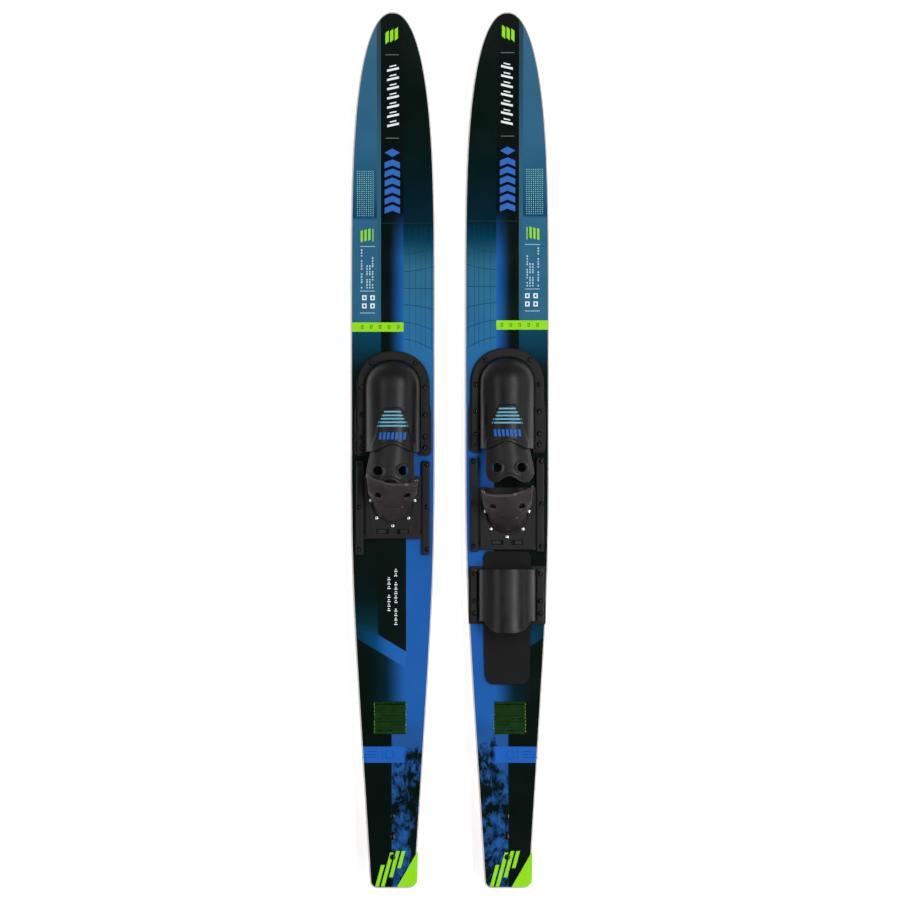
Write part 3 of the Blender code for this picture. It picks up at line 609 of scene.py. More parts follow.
def ski_body(ski):
    base = thing_of(f"{ski}_ski_base", loft([base_ring(s) for s in stations()]))
    bores = [turned(0, s, [(2.6, 40), (2.6, -20)]) for s in FIN_SCREWS]
    carved(base, outline_layer(RIM, lambda s: base_z(s) + FLOOR_THICK, lambda s: top_z(s) + 5),
           *bores)
    seat(base, ski, "ski", "base_plastic", ["base_shell"])

    def deck_ring(s):
        w, top = half_width(s, RIM), top_z(s)
        soft = min(0.5, 0.2 * w)
        return [(-w, s, top - SKIN), (w, s, top - SKIN), (w, s, top - soft),
                (w - 0.3 * soft, s, top - 0.3 * soft), (w - soft, s, top), (soft - w, s, top),
                (0.3 * soft - w, s, top - 0.3 * soft), (-w, s, top - soft)]
    deck = thing_of(f"{ski}_printed_deck", loft([deck_ring(s) for s in stations(RIM)]))
    carved(deck, *bores)
    seat(deck, ski, "ski", "deck_print", ["deck_sheet"], look=deck_print(ski))

    # fin: a foil on a flange that follows the base
    reach = np.linspace(FIN_FROM, FIN_TO, 24)
    flange = loft([[(-w, s, base_z(s) - 0.3), (w, s, base_z(s) - 0.3), (w, s, base_z(s) - 1.6),
                    (w - 2, s, base_z(s) - 5.8), (2 - w, s, base_z(s) - 5.8),
                    (-w, s, base_z(s) - 1.6)]
                   for s in reach
                   for w in [12.0 - 4.0 * abs((s - 100) / 60) ** 2.5]])
    drop = math.tan(PITCH)

    def foil(part):
        """One cross-section of the blade, part of the way down from the flange."""
        rear = 50 + 5 * part
        front = 152 - 52 * part ** 1.6
        half = 3.6 - 2.0 * part
        shape = [0.35, 0.62, 0.84, 0.97, 1.0, 0.93, 0.78, 0.52, 0.24]
        chord = np.linspace(rear, front, 11)
        sides = [0.12, *shape, 0.08]

        def low(s):
            return -1.5 + (1.5 - FIN_DEPTH + (s - FIN_CONTACT) * drop) * part
        right = [(half * w, s, low(s)) for s, w in zip(chord, sides)]
        return both_sides(right)
    blade = loft([foil(part) for part in np.linspace(0, 1, 14)])
    seat(thing_of(f"{ski}_fin_foil", flange, blade), ski, "ski", "moulded_plastic", ["fin"], 30)

    skins = [screw(0, s, top_z(s) + 0.6, 5.4, 2.4, base_z(s) - 4.3) for s in FIN_SCREWS]
    recesses = [cut for s in FIN_SCREWS for cut in cross_recess(0, s, top_z(s) + 3.2, 3.0)]
    bolts = carved(thing_of(f"{ski}_fin_bolts", *skins), *recesses)
    seat(bolts, ski, "ski", "screw_steel",
         [f"fin_screw_{place}" for place in ("rear", "middle", "front")], 30)


# ---- screws ----

def screw(x, s, seat_z, radius, tall, low):
    """A pan-headed screw standing on seat_z."""
    dome = [(radius * math.sin(a), seat_z + tall * (0.45 + 0.55 * math.cos(a)))
            for a in np.radians([12, 28, 44, 60, 76, 90])]
    return turned(x, s, [*dome, (radius, seat_z), (SHANK, seat_z), (SHANK, low)])


def cross_recess(x, s, top, reach):
    """The two slots of a cross recess, to cut out of a screw's head."""
    wide = reach * 0.19
    return (block(x - reach * 0.62, x + reach * 0.62, s - wide, s + wide, top - 1.6, top + 3),
            block(x - wide, x + wide, s - reach * 0.62, s + reach * 0.62, top - 1.6, top + 3))


def sinks(places, *profile):
    """Cutters for the screws' seats: profile lists (radius, height over the deck)."""
    return [turned(x, s, [(profile[0][0], ABOVE), *[(r, DECK + z) for r, z in profile]])
            for x, s in places]


def screw_row(ski, piece, body, places, seat_z, slot, nodes, strip, radius=4.0, low=9.7):
    """A group of screws, and the strip of metal that they are driven into."""
    made = thing_of(f"{ski}_{piece}", *[screw(x, s, seat_z, radius, HEAD_TALL, low)
                                        for x, s in places])
    carved(made, *[cut for x, s in places
                   for cut in cross_recess(x, s, seat_z + HEAD_TALL, radius)])
    path, width, bottom, top = strip
    extra = thing_of("strip", band(*ribbon(path, width), bottom, top))
    merged = bmesh.new()
    merged.from_mesh(made.data)
    merged.from_mesh(extra.data)
    merged.to_mesh(made.data)
    merged.free()
    bpy.data.objects.remove(extra)
    seat(made, ski, body, slot, nodes, 30)


# ---- toe binding ----

def horseshoe(half, nose, legs):
    """Points from the left leg's rear end, round the nose, to the right leg's rear end."""
    c, up = powered(np.linspace(0, math.pi, 65)[1:-1], 2.2)
    left = [(-half, s) for s in legs]
    arch = [(-half * a, ARCH + (nose - ARCH) * b) for a, b in zip(c, up)]
    return left + arch + [(-x, s) for x, s in reversed(left)]


def round_ends(path_out, path_in, count):
    """Draws the ends of a pair of paths together, so that the strip ends in a half circle."""
    for step in range(count):
        spread = math.sin(math.radians((step + 0.35) * 90 / (count - 0.65)))
        for k in (step, len(path_out) - 1 - step):
            (xo, so), (xi, si) = path_out[k], path_in[k]
            mid = (xo + xi) / 2
            path_out[k] = (mid + (xo - mid) * spread, so)
            path_in[k] = (mid + (xi - mid) * spread, si)


def dome_rise(s):
    """Height of the dome over its upright wall, which grows a little towards the foot's opening."""
    return 48.0 + 0.10 * np.maximum(ARCH - s, 0)


def dome_top(x, s):
    """Height of the toe rubber's plain outer face."""
    ahead = np.maximum(s - ARCH, 0)
    c = ((np.abs(x) / DOME_HALF) ** 2.2 + (ahead / DOME_NOSE) ** 2.2) ** (1 / 2.2)
    up = (1 - np.minimum(c, 1.0) ** DOME_POWER) ** (1 / DOME_POWER)
    return DECK + DOME_FOOT + DOME_WALL + dome_rise(s) * up


def panel_half(s):
    return np.interp(s, [860, 872, 890, 912, 932], [43.0, 37.0, 31.0, 24.0, 17.0])


def dome_relief(x, s):
    """The toe rubber's raised tongue panel, its step line and the ribs beside the panel."""
    x = np.abs(x)
    rear_of_step = smooth((934 - s) / 2.0)
    panel = smooth((panel_half(s) - x) / 1.8) * rear_of_step
    ribs = ridge(x, 34, 53, 3.0) * ridge(s, 872, 922, 4.0) * smooth((x - panel_half(s) - 2) / 2)
    wave = 0.5 + 0.5 * np.sin((s + 0.9 * x) * 2 * math.pi / 6.4)
    lip = smooth((rear_edge(x) + 6.0 - s) / 2.0)
    return 1.1 * panel - 0.7 * rear_of_step * (1 - panel) + 0.8 * ribs * wave + 0.7 * lip


def rear_edge(x):
    return 849.0 + 14.0 * (1 - smooth(np.abs(x) / 42))


def toe_overlay(ski):
    shift = TOE_SHIFT[ski]
    foot = DECK + DOME_FOOT
    levels = [(68.0, NOSE - 1, 0.0, 0.0), (60.0, 1036.0, 0.0, 0.0), (55.2, 1030.6, 0.0, 0.0),
              (54.2, 1029.5, 0.6, 0.0), (53.6, 1028.9, 2.2, 0.0), (DOME_HALF, 1028.7, DOME_WALL, 0.0)]
    c, up = powered(np.radians(np.concatenate([np.linspace(6, 70, 26), np.linspace(72, 90, 16)])),
                    DOME_POWER)
    levels += [(DOME_HALF * a, ARCH + DOME_NOSE * a, DOME_WALL, b) for a, b in zip(c, up)]
    rows = []
    for half, nose, lift, tall in levels:
        path = np.array(horseshoe(half, nose, np.linspace(rear_edge(half), ARCH, 78)))
        x, s = path[:, 0], path[:, 1]
        z = foot + lift + dome_rise(s) * tall + dome_relief(x, s) * smooth(tall * 3)
        rows.append(np.stack([x, s + shift, z], axis=1))
    made = thick_sheet(f"{ski}_toe_rubber", grid(rows), 2.8)
    seat(made, ski, "ski", "rubber", ["toe_overlay"], 60)


def instep_flap(ski):
    side, shift = SIDES[ski], TOE_SHIFT[ski]
    fore, leg_rear, hole_s = 905.0, 852.0, 811.0
    centre_x = side * 3.8
    angles = np.concatenate([[-2, -1], np.linspace(0, 180, 97), [181, 182]])
    rows, on_foot = [], []
    for part in np.linspace(0, 1, 74):
        row = []
        for a in angles:
            c, up = powered(math.radians(min(max(a, 0), 180)), 2.4)
            sign = 1 if a > 90 else -1
            edge_x = 55.4 * abs(c)
            edge = 794.0 - 12.0 * math.sin(math.pi * min(edge_x, 47) / 60) ** 2
            edge += 15.0 * max(0.0, (edge_x - 35) / 14) ** 2.4
            at = fore + (edge - fore) * part
            wide = float(np.interp(at, [802, leg_rear, fore], [55.4, 49.3, 49.3]))
            x = 58.4 if a in (-2, 182) else 49.3 if a in (-1, 181) else wide * abs(c)
            tall = float(np.interp(at, [782, 863, fore], [76.5, 67.5, 64.0]))
            flat = a < 0 or a > 180
            z = PLATE_TOP + (0 if flat else (tall - 5.3) * max(up, 0))
            x = sign * x + side * 4.6 * float(smooth((leg_rear + 10 - at) / 55))
            if not flat:
                ring = max(float(ridge(math.hypot(x - centre_x - k, at - hole_s), 8.4, 13.6, 1.6))
                           for k in (-FLAP_HOLE_X, FLAP_HOLE_X))
                border = float(smooth((6.5 - (at - edge)) / 2.0))
                border = max(border, float(smooth((abs(c) - 0.80) / 0.05)) * (at < 850))
                z += 1.5 * max(ring, border)
            row.append((x, at + shift, z))
        rows.append(row)
        on_foot.append(fore + (790 - fore) * part > 877)

    def kept(r, c):
        return on_foot[r] or 32 <= angles[c] <= 146
    made = thick_sheet(f"{ski}_instep_rubber", grid(rows, kept), 2.2, 0.6)
    carved(made, *[turned(centre_x + x, hole_s + shift, [(9.0, 200), (9.0, 40)], 36)
                   for x in (-FLAP_HOLE_X, FLAP_HOLE_X)])
    seat(made, ski, "ski", "rubber", ["instep_flap"], 60, LOOKS["flap_rubber"])


def toe_binding(ski):
    shift = TOE_SHIFT[ski]

    def moved(path):
        return [(x, s + shift) for x, s in path]
    holes = [(sign * x, NOSE + shift - back) for back, x in TOE_SCREWS for sign in (-1, 1)]

    legs = [842.5, 846.0, 854.0, 924.0, 934.0, 944.0, ARCH]
    outer = horseshoe(FRAME_OUT + 3.3, NOSE + 3.3, legs)
    inner = horseshoe(50.5, NOSE - 18.0, legs)
    for k, wide in enumerate((68.0, 73.0, 75.0, 75.0, 74.0)):
        outer[k], outer[-1 - k] = (-wide, legs[k]), (wide, legs[k])
    plate = rounded(thing_of(f"{ski}_toe_base", band(moved(outer), moved(inner), DECK + 0.3,
                                                     PLATE_TOP)), 1.0)
    seat(plate, ski, "ski", "moulded_plastic", ["toe_plate"])

    legs = list(FRAME_REAR + 7.2 * (1 - np.cos(np.radians([0, 12, 26, 40, 55, 72, 90])))) \
        + [905.0, ARCH]
    outer = horseshoe(FRAME_OUT, NOSE, legs)
    inner = horseshoe(FRAME_OUT - FRAME_BAND, NOSE - 14, legs)
    round_ends(outer, inner, 7)
    clamp = thing_of(f"{ski}_toe_clamp", band(moved(outer), moved(inner), DECK + 8.7,
                                              BINDING_TOP))
    rounded(clamp, 1.3)
    small = [turned(sign * 61.5, NOSE + shift - 176.0, [(1.9, ABOVE), (1.9, DECK + 10.0)], 20)
             for sign in (-1, 1)]
    carved(clamp, *sinks(holes, (6.0, 12.35), (4.9, 11.9), (4.7, 10.5)), *small)
    seat(clamp, ski, "ski", "frame_plastic", ["toe_frame"])

    path = moved(horseshoe(61.5, NOSE - 7, [852.0, 900.0, ARCH]))
    screw_row(ski, "toe_bolts", "ski", holes, DECK + 10.4, "screw_steel", ["toe_screws"],
              (path, *NUT_STRIP))
    toe_overlay(ski)
    instep_flap(ski)


# ---- heel binding ----

def rails(ski):
    shift = TOE_SHIFT[ski]
    front = RAIL_FRONT + shift
    back = front - RAIL_LONG
    profile = [(60.6, 0.3), (RAIL_OUT, 0.3), (RAIL_OUT, 8.2), (RAIL_OUT - 2.0, 10.3),
               (RAIL_IN + 1.6, 10.3), (RAIL_IN, 9.0), (RAIL_IN, 5.5), (60.6, 5.5)]
    for place, sign in (("outer", SIDES[ski]), ("inner", -SIDES[ski])):
        mid = (RAIL_IN + RAIL_OUT) / 2
        rings = []
        for s, squeeze in ((back, 0.72), (back + 1.2, 0.88), (back + 4.0, 1.0),
                           (front - 4.0, 1.0), (front - 1.2, 0.88), (front, 0.72)):
            rings.append([(sign * (mid + (x - mid) * (squeeze if z > 5.5 or x > 60.6 else 1)),
                           s, DECK + z) for x, z in profile])
        rail = rounded(thing_of(f"{ski}_rail_bar_{place}", loft(rings)), 0.8)
        places = [(sign * RAIL_SCREW_X, front - at) for at in RAIL_SCREWS]
        carved(rail, *sinks(places, (5.1, 9.6), (4.6, 9.2), (4.5, 7.1)))
        seat(rail, ski, "ski", "moulded_plastic", [f"rail_{place}"])
        path = [(sign * RAIL_SCREW_X, s) for s in np.linspace(back + 4.6, front - 2, 6)]
        screw_row(ski, f"rail_bolts_{place}", "ski", places, DECK + 7.2, "screw_steel",
                  [f"rail_screws_{place}"], (path, *NUT_STRIP))


def u_path(half, rear, front, bends, legs=1):
    """A U open to the front: left leg, round the rear, right leg."""
    depth = min(half, front - rear - 1.0)
    turns = np.linspace(0, math.pi, bends + 1)
    arc = [(-half * math.cos(a), rear + depth * (1 - math.sin(a))) for a in turns]
    leg = [(-half, s) for s in np.linspace(front, arc[0][1], legs + 2)[:-1]]
    return leg + arc + [(-x, s) for x, s in reversed(leg)]


CUP_LEVELS = [(9.4, 37.5, 31.5, 120.0), (16, 38.5, 34.0, 119.0), (26, 40.0, 39.5, 114.0),
              (35, 42.0, 45.5, 104.0), (46, 44.5, 54.5, 93.0), (60, 46.5, 66.5, 89.5),
              (74, 47.6, 79.0, 94.0), (86, 48.6, 92.0, 106.0), (95, 49.6, 101.0, 116.0)]


def cup_levels(count):
    """The heel cup's levels, drawn out smoothly (Catmull-Rom)."""
    known = np.array([CUP_LEVELS[0], *CUP_LEVELS, CUP_LEVELS[-1]], float)
    levels = []
    for at in np.linspace(0, len(CUP_LEVELS) - 1.0001, count):
        k, t = int(at), at - int(at)
        a, b, c, d = known[k:k + 4]
        levels.append(0.5 * (2 * b + (c - a) * t + (2 * a - 5 * b + 4 * c - d) * t ** 2
                             + (3 * b - a - 3 * c + d) * t ** 3))
    return levels


def heel_cup(ski):
    side, rear = SIDES[ski], HEEL_REAR[ski]

    def row(level, thick, drop):
        z, half, back, front = level
        path = np.array(u_path(half - thick, back + 1.2 * thick, front, 72, 26))
        x, s = path[:, 0], path[:, 1]
        flare = smooth((z - 72) / 23)
        tilt = smooth(side * x / 40) * 6.0 - smooth(-side * x / 40) * 3.0
        dip = -3.0 * (1 - (x / 50) ** 2)
        from_hole = np.hypot(np.abs(x) - CUP_HOLE_X, z - CUP_HOLE_UP)
        lip = 1.3 * ridge(from_hole, CUP_HOLE + 0.4, CUP_HOLE + 5.4, 1.6)
        s = s + rear + flare * tilt + (lip if thick else -lip)
        return np.stack([x, s, DECK + z + drop + flare * dip], axis=1)

    outside, inside = [], []
    foot = (9.4, 49.2, 20.0, 120.5)
    outside.append(row(foot, 0.0, 0.0))
    inside.append(row(foot, 0.0, -3.0))
    for k, level in enumerate(cup_levels(66)):
        z = level[0]
        roll = 1.2 * float(smooth((z - 89) / 3)) + 0.35 * float(ridge(z, 58, 61, 1.0))
        groove = 1.3 * float(ridge(z, 48.6, 52.0, 1.0))
        out = level.copy()
        out[1] += roll - groove
        out[2] -= roll - groove
        thick = 3.0 + roll - groove
        drop = -3.0 if k == 0 else -0.6
        outside.append(row(out, 0.0, 0.0))
        inside.append(row(out, thick, drop))
    cup = rounded(thing_of(f"{ski}_heel_rubber", closed_wall(outside, inside)), 0.9, 3, 55)
    # finger holes through the back wall
    turns = np.linspace(0, 2 * math.pi, 37)[:-1]
    carved(cup, *[loft([[(x + CUP_HOLE * math.cos(a), s, DECK + CUP_HOLE_UP + CUP_HOLE * math.sin(a))
                         for a in turns] for s in (rear + 54.0, rear + 114.0)])
                  for x in (-CUP_HOLE_X, CUP_HOLE_X)])
    seat(cup, ski, "heel", "grey_rubber", ["heel_cup"], 60)


def heel_binding(ski):
    side, rear = SIDES[ski], HEEL_REAR[ski]

    def moved(path):
        return [(x, s + rear) for x, s in path]
    corner = [(PLATE_HALF - 4 + 4 * math.sin(a), 4 - 4 * math.cos(a))
              for a in np.radians([0, 22, 45, 67, 90])]
    front_corner = [(PLATE_HALF - 3 + 3 * math.cos(a), PLATE_LONG - 3 + 3 * math.sin(a))
                    for a in np.radians([0, 30, 60, 90])]
    inside = u_path(38.9, 29.9, PLATE_LONG, 40, 3)
    outline = both_sides(corner + front_corner) + inside[::-1]
    plate = thing_of(f"{ski}_heel_plate", prism(moved(outline), DECK + 6.3, BINDING_TOP))
    rounded(plate, 1.2)
    bar_from, bar_to = rear + LOCK_AT - 4.0, rear + LOCK_AT + 4.0
    under = moved(u_path(36.0, 33.0, 140.0, 40))
    over = moved(u_path(49.6, 19.3, 140.0, 40))
    places = [(sign * x, s + rear) for x, s in HEEL_SCREWS for sign in ((-1, 1) if x else (1,))]
    groove = ribbon(moved(both_sides([(34.0, 7.2), (47.5, 58.0), (47.5, 119.0)])), 1.0)
    carved(plate, band(over, under, DECK, DECK + 9.7), band(*groove, DECK + 12.3, DECK + 15),
           *[turned(x, s, [(2.3, ABOVE), (2.3, 0)]) for x, s in places],
           *[block(*sorted((sign * 8.0, sign * 31.0)), bar_from - 0.7, bar_to + 0.7, 0, 60)
             for sign in (-1, 1)])
    seat(plate, ski, "heel", "moulded_plastic", ["heel_clamp_plate"])
    heel_cup(ski)
    nut_side = [(18.0, 29.5), (31.0, 40.3), (38.5, 55.0), (42.3, 74.8), (45.0, 100.0),
                (45.2, 118.0)]
    nut_line = moved([(-x, s) for x, s in reversed(nut_side)] + [(0.0, 25.3), *nut_side])
    screw_row(ski, "heel_bolts", "heel", places, DECK + 12.8, "bright_steel", ["heel_screws"],
              (nut_line, 7.8, DECK + 1.0, DECK + 2.9), 3.5, DECK + 1.8)

    for place, sign in (("outer", side), ("inner", -side)):
        bar = block(*sorted((sign * 9.0, sign * 59.8)), bar_from, bar_to, DECK + 2.6, DECK + 4.8)
        knob = block(*sorted((sign * 14.5, sign * 29.5)), bar_from + 0.3, bar_to - 0.3,
                     DECK + 4.0, DECK + 14.2)
        tab = rounded(thing_of(f"{ski}_lock_slide_{place}", bar, knob), 0.5)
        ribs = [block(*sorted((sign * at, sign * (at + 1.0))), bar_from - 1, bar_to + 1,
                      DECK + 13.6, DECK + 20) for at in (17.0, 20.0, 23.0, 26.0)]
        carved(tab, *ribs)
        seat(tab, ski, f"lock_{place}", "moulded_plastic", [f"lock_tab_{place}"],
             look=LOOKS["frame_plastic"])


# ---- rear toe piece ----

def rear_toe(ski):
    back, front = BAR_BACK, BAR_FRONT
    for place, sign in (("outer", SIDES[ski]), ("inner", -SIDES[ski])):
        places = [(sign * REAR_SCREW_X, front - at) for at in REAR_SCREWS]
        outline = [(57.6, back + 3), (58.6, back + 1), (60.6, back), (68.4, back),
                   (70.2, back + 1), (71.0, back + 3), (70.2, front - 3), (69.4, front - 1),
                   (68.0, front), (60.8, front), (59.0, front - 1), (58.2, front - 3)]
        bar = rounded(thing_of(f"{ski}_rear_bar_{place}",
                               prism([(sign * x, s) for x, s in outline], DECK + 6.9,
                                     BINDING_TOP)), 1.3)
        carved(bar, *sinks(places, (5.2, 12.3), (4.6, 11.9), (4.5, 10.2)))
        seat(bar, ski, "ski", "frame_plastic", [f"rear_toe_bar_{place}"])
        path = [(sign * REAR_SCREW_X, s) for s in np.linspace(front - 94.4, front - 6, 5)]
        screw_row(ski, f"rear_bolts_{place}", "ski", places, DECK + 10.3, "screw_steel",
                  [f"rear_toe_screws_{place}"], (path, *NUT_STRIP))

    ring = both_sides([(75, 0.3), (75, 3.3), (47.5, 3.3), (47.5, 2.0)])
    plate = rounded(thing_of(f"{ski}_rear_base", loft([[(x, s, DECK + z) for x, z in ring]
                                                       for s in (back - 4, front + 4)])), 0.8)
    seat(plate, ski, "ski", "moulded_plastic", ["rear_toe_plate"])

    angles = np.concatenate([[-2, -1], np.linspace(0, 180, 91), [181, 182]])
    rows = []
    for part in np.linspace(0, 1, 70):
        row = []
        for a in angles:
            c, up = powered(math.radians(min(max(a, 0), 180)), 2.4)
            x = {-2: -70.4, -1: -58.0, 181: 58.0, 182: 70.4}.get(a, -56.4 * c)
            rear_s = back + 1.0 - 24.5 * (1 - min(abs(x) / 46, 1.0) ** 4)
            at = (front - 4.0) + (rear_s - front + 4.0) * part
            crown = 58.0 + 2.5 * math.cos((at - (front + back) / 2) / 30)
            flat = a < 0 or a > 180
            bead = 0 if flat else 0.9 * float(smooth((4.5 - (at - rear_s)) / 1.6)
                                              + smooth((at - front + 8.5) / 1.6))
            row.append((x, at, DECK + 6.6 + (0 if flat else crown * max(up, 0)) + bead * up))
        rows.append(row)
    strap = thick_sheet(f"{ski}_rear_strap", grid(rows), 2.8)
    seat(strap, ski, "ski", "rubber", ["rear_toe_strap"], 60)

    half = [(30, PAD_BACK), (36, PAD_BACK + 2.5), (40.5, PAD_BACK + 8), (43.5, PAD_BACK + 18),
            (45, PAD_BACK + 60), (46, back - 6), (46, front + 6), (46.5, PAD_FRONT - 14),
            (44.5, PAD_FRONT - 6), (41, PAD_FRONT - 1.5), (36, PAD_FRONT)]
    pad = thing_of(f"{ski}_foam_pad", prism(both_sides(half), DECK + 0.3, DECK + 6.3))
    carved(pad, block(-60, 60, back - 6, front + 6, 0, DECK + 2.3))
    rounded(pad, 1.8, 4, 60)
    seat(pad, ski, "ski", "foam", ["rear_toe_pad"])


# ---- printed marks ----

class Marks:
    """Thin printed shapes on one surface, gathered by ink.

    Across is outwards negative on mirrored prints, and plain x on the others.
    """

    def __init__(self, ski, ahead, surface, mirrored=True):
        self.ski, self.ahead, self.surface, self.skins = ski, ahead, surface, {}
        self.way = -SIDES[ski] if mirrored else 1

    def quad(self, colour, corners, fine=7.0):
        """A four-cornered mark: corners go round it, as (across, along)."""
        a, b, c, d = [np.array(p, float) for p in corners]
        up = max(1, math.ceil(max(np.linalg.norm(d - a), np.linalg.norm(c - b)) / fine))
        over = max(1, math.ceil(max(np.linalg.norm(b - a), np.linalg.norm(c - d)) / fine))
        rows = []
        for v in np.linspace(0, 1, up + 1):
            low, high = a + (d - a) * v, b + (c - b) * v
            row = []
            for u in np.linspace(0, 1, over + 1):
                t, s = low + (high - low) * u
                x, s = self.way * t, s + self.ahead
                row.append((x, s, self.surface(x, s) + PRINT_LIFT))
            rows.append(row)
        self.skins.setdefault(colour, []).append(grid(rows))

    def box(self, colour, t0, t1, s0, s1, slant=0.0, fine=7.0):
        """A box between two across and two along values; slant moves its high-t side along."""
        self.quad(colour, [(t0, s0), (t1, s0 + slant), (t1, s1 + slant), (t0, s1)], fine)

    def line(self, colour, path, width):
        left, right = ribbon(path, width)
        for k in range(len(left) - 1):
            self.quad(colour, [left[k], right[k], right[k + 1], left[k + 1]])

    def ring(self, colour, t0, t1, s0, s1, wide):
        """A hollow box."""
        self.box(colour, t0, t1, s0, s0 + wide)
        self.box(colour, t0, t1, s1 - wide, s1)
        for a, b in ((t0, t0 + wide), (t1 - wide, t1)):
            self.box(colour, a, b, s0 + wide, s1 - wide)

    def place(self, prefix, slot="deck_print"):
        for colour, skins in self.skins.items():
            made = thing_of(f"{self.ski}_{prefix}_{colour}", *skins, turn_out=False)
            work = bmesh.new()
            work.from_mesh(made.data)
            for face in work.faces:
                face.normal_update()
                if face.normal.z < 0:
                    face.normal_flip()
            work.to_mesh(made.data)
            work.free()
            seat(made, self.ski, "ski", slot, look=INKS[colour])


def deck_marks(ski):
    marks = Marks(ski, 4.0 if ski == "right" else 0.0, lambda x, s: top_z(s))
    # near the tip: a lime emblem of slanted bars, hairlines and pairs of slanted white bars
    for t in (-14.0, -5.0, 4.0):
        marks.box("lime", t, t + 6.4, 1641 + 0.35 * (t + 14), 1662 + 0.35 * (t + 14), 5.0)
    for s in (1621.0, 1462.0):
        marks.box("grey", -14, 12, s - 0.7, s + 0.7)
    for k in range(7):
        s = 1483.0 + 17.6 * k
        marks.box("white", -11, 12, s, s + 4.2, 5.0)
        marks.box("white", -6, 7, s + 8.6, s + 11.0, 2.8)
    # a column of broad blue chevrons with a lozenge in front of them
    for k in range(6):
        s = 1316.0 + 17.5 * k
        marks.quad("blue", [(-16, s), (-1, s + 6), (-1, s + 17.5), (-16, s + 11.5)], 5.0)
        marks.quad("blue", [(-1, s + 6), (14, s), (14, s + 11.5), (-1, s + 17.5)], 5.0)
    marks.quad("blue", [(-1, 1426), (14, 1434), (-1, 1442), (-16, 1434)], 5.0)
    # dotted panel
    for column in range(8):
        for k in range(23):
            t, s = -69.0 + 4.35 * column, 1312.0 + 3.9 * k
            marks.box("mint", t - DOT, t + DOT, s - DOT, s + DOT)
    # information panel
    for k in range(3):
        t, s = -63.0 + 7.4 * k, 1260.0 + 1.6 * k
        marks.box("lime", t, t + 4.4, s, s + 22.0, 2.4)
    marks.box("lime", -40.0, -38.0, 1262, 1286)
    for s in (1252.0, 1165.0, 1122.0):
        marks.box("pale", -64, -35, s - 0.6, s + 0.6)
    for t, first, last in ((-61.0, 1170, 1243), (-50.5, 1170, 1212), (-45.0, 1170, 1219),
                           (-39.5, 1170, 1233)):
        for k, s in enumerate(np.arange(first, last, 5.2)):
            if (k * 7 + int(-t)) % 5 != 3:
                marks.box("pale", t - 1.3, t + 1.3, s, s + 3.0 + (k % 3) * 0.4)
    for t in (-60.0, -44.0):
        for s in (1131.0, 1147.0):
            marks.ring("white", t, t + 8.6, s, s + 9.6, 2.3)
    # the gridded inner field
    for t in (32.0, 45.0, 55.0, 63.5, 75.0):
        marks.line("grid", [(t, s) for s in np.linspace(1052, 1290, 30)
                            if half_width(s, RIM) > t + 1.0], 0.7)
    for low, high in ((1237, 1250), (1203, 1213), (1170, 1170), (1138, 1129), (1104, 1088),
                      (1071, 1049)):
        edge = half_width(low, RIM) - 0.8
        marks.line("grid", [(t, low + (high - low) * ((t - 21) / (edge - 21)) ** 1.7)
                            for t in np.linspace(21.5, edge, 12)], 1.1)
    # lime bar across the outer half
    marks.box("lime", -79.6, 21.0, 1085.4, 1103.5, 0.0, 5.0)
    for t in (-62.0, -44.5, -27.0, -9.5, 8.0):
        marks.ring("olive", t, t + 4.6, 1090.8, 1098.4, 1.2)
    marks.place("upper_print")

    marks = Marks(ski, 0.0, lambda x, s: top_z(s))
    if ski == "left":
        for t, first, last in ((-10.5, 540, 606), (3.0, 513, 622)):
            for k, s in enumerate(np.arange(first, last, 8.6)):
                if k % 6 != 4:
                    marks.box("white", t, t + 6.0, s, s + 2.0)
                    marks.box("white", t + 1.5, t + 4.5, s + 3.8, s + 5.8)
    # notice label
    notice = (NOTICE_OUT, NOTICE_IN, NOTICE_BACK, NOTICE_FRONT)
    marks.box("green", *notice)
    marks.ring("lime", *notice, 0.9)
    marks.box("coal", -34.6, 24.6, 357, 362.4)
    marks.box("lime", -19, 13, 358.4, 361.0)
    for k, (t0, t1) in enumerate(((-31, 23), (-33, 10), (-31, 24), (-26, 24), (-31, 24),
                                  (-33, 24), (-4, 24), (-31, 18), (-33, 0))):
        marks.box("coal", t0, t1, 351.5 - 5.6 * k, 353.2 - 5.6 * k)
    # cross band: a divider and a round seal
    marks.box("navy", -21.0, -20.2, 250, 271)
    marks.line("navy", [(-6 + 8 * math.cos(a), 260.5 + 8 * math.sin(a))
                        for a in np.linspace(0, 2 * math.pi, 25)], 0.9)
    for k in range(3):
        marks.box("navy", -60 + 5 * k, -30, 254.5 + 5.5 * k, 255.6 + 5.5 * k)
    marks.place("lower_print")

    # tail: slanted lime bars and the corner wedge, the same way round on both skis
    marks = Marks(ski, 0.0, lambda x, s: top_z(s), mirrored=False)
    lean = 0.27
    for t, low, high in ((-35.0, 4, 46), (-24.0, 4, 70), (-13.0, 22, 73), (-2.0, 40, 73)):
        marks.quad("lime", [(t + lean * low, low), (t + 7.2 + lean * low, low),
                            (t + 7.2 + lean * high, high), (t + lean * high, high)])
    marks.quad("lime", [(8.5, 3.2), (40.0, 3.2), (48.2, 13), (49.4, 74)])
    marks.place("tail_print")


def toe_marks(ski):
    shift = TOE_SHIFT[ski]

    def surface(x, s):
        flat = s - shift
        return float(dome_top(x, flat) + dome_relief(x, flat))
    marks = Marks(ski, shift, surface)
    for s, half in ((925.6, 16.5), (918.4, 20.5), (911.8, 23.5), (905.0, 28.0), (898.0, 30.0)):
        marks.box("stripe", -half, half, s - 1.5, s + 1.5, 0.0, 2.0)
    for k in range(7):
        t = -27.0 + 7.9 * k
        marks.quad("cobalt", [(t, 871.5), (t + 4.6, 871.5), (t + 6.4, 885), (t + 1.8, 885)],
                   1.8)
    marks.place("toe_print", "rubber")


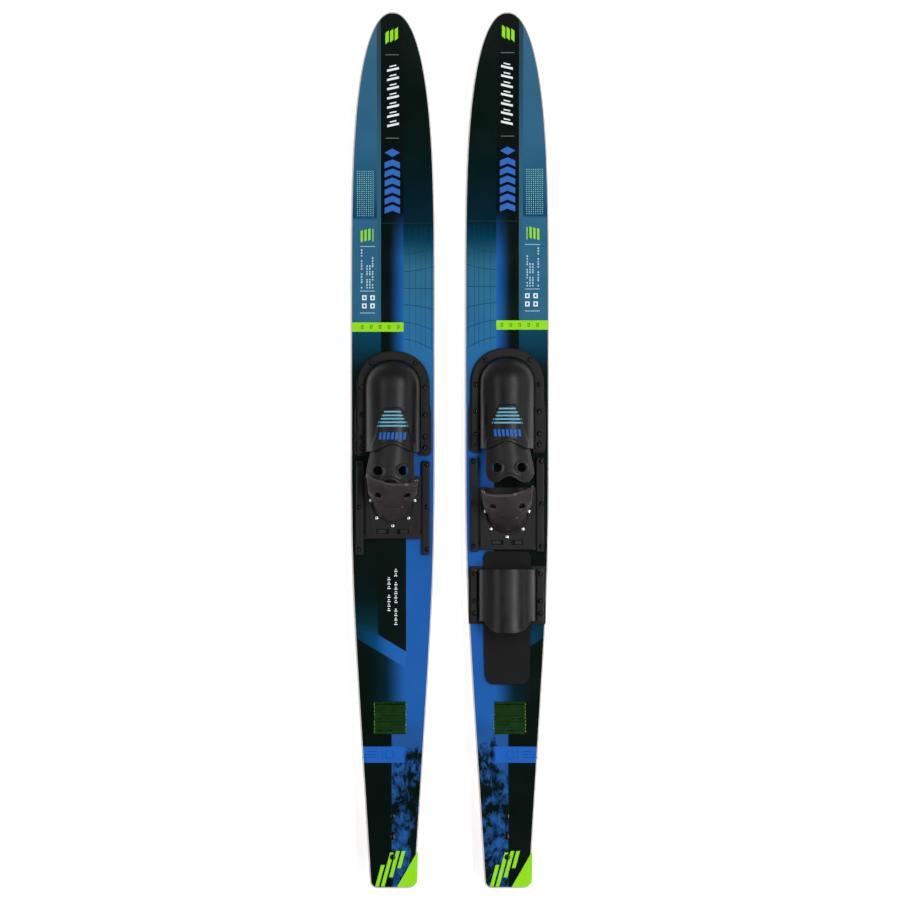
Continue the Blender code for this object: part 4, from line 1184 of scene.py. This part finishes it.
# ---- build ----

for ski in SIDES:
    ski_body(ski)
    toe_binding(ski)
    rails(ski)
    heel_binding(ski)
    deck_marks(ski)
    toe_marks(ski)
rear_toe("right")

for name, node in frame["nodes"].items():
    kept = {"core": "core_board", "heel_slider": "moulded_plastic", "lock_spring": "screw_steel"}
    slot = next((s for end, s in kept.items() if name.endswith(end)), None)
    if slot:
        node.data.materials.clear()
        node.data.materials.append(LOOKS[slot])


# ---- floor, light and camera ----

def studio():
    scene = bpy.context.scene
    scene.view_settings.view_transform = "Standard"
    floor_mesh = bpy.data.meshes.new("floor")
    half = 30.0
    floor_mesh.from_pydata([(-half, -half, 0), (half, -half, 0), (half, half, 0),
                            (-half, half, 0)], [], [(0, 1, 2, 3)])
    floor = bpy.data.objects.new("floor", floor_mesh)
    scene.collection.objects.link(floor)
    look = Look("floor")
    paper = look.mix((0.97, 0.97, 0.97, 1), (0.985, 0.985, 0.985, 1), look.noise(3.0))
    floor_mesh.materials.append(look.set(Base_Color=paper, Roughness=0.9, Emission_Color=paper,
                                         Emission_Strength=0.45))
    floor.location.z = -0.0005

    def softbox(name, place, size, watts):
        """A lamp as long as the skis, turned about Y to face the middle of the pair."""
        data = bpy.data.lights.new(name, "AREA")
        data.shape, data.size, data.size_y, data.energy = "RECTANGLE", size[0], size[1], watts
        lamp = bpy.data.objects.new(name, data)
        scene.collection.objects.link(lamp)
        lamp.location = place
        lamp.rotation_euler = (0, math.atan2(place[0], place[2]), 0)
    softbox("key", (1.45, 0.0, 4.0), (0.5, 4.2), 162.0)
    softbox("fill", (-1.9, 0.0, 3.6), (1.1, 4.2), 52.0)
    softbox("side", (2.3, 0.0, 1.3), (0.6, 3.6), 14.0)

    world = bpy.data.worlds.new("studio")
    scene.world = world
    world.use_nodes = True
    tree = world.node_tree
    back = tree.nodes["Background"]
    place = tree.nodes.new("ShaderNodeTexCoord")
    parts = tree.nodes.new("ShaderNodeSeparateXYZ")
    ramp = tree.nodes.new("ShaderNodeValToRGB")
    tree.links.new(place.outputs["Generated"], parts.inputs[0])
    tree.links.new(parts.outputs[2], ramp.inputs[0])
    tree.links.new(ramp.outputs[0], back.inputs["Color"])
    for element, at, grey in zip(ramp.color_ramp.elements, (0.35, 0.92), (0.95, 0.015)):
        element.position, element.color = at, (grey, grey, grey, 1)
    back.inputs["Strength"].default_value = 0.6

    camera = bpy.data.cameras.new("camera")
    holder = bpy.data.objects.new("camera", camera)
    scene.collection.objects.link(holder)
    height, seen = 14.0, 1.759
    camera.lens = camera.sensor_width * (height - 0.05) / seen
    camera.clip_end = 100.0
    holder.location = (0.003, -0.0018, height)
    scene.camera = holder


studio()
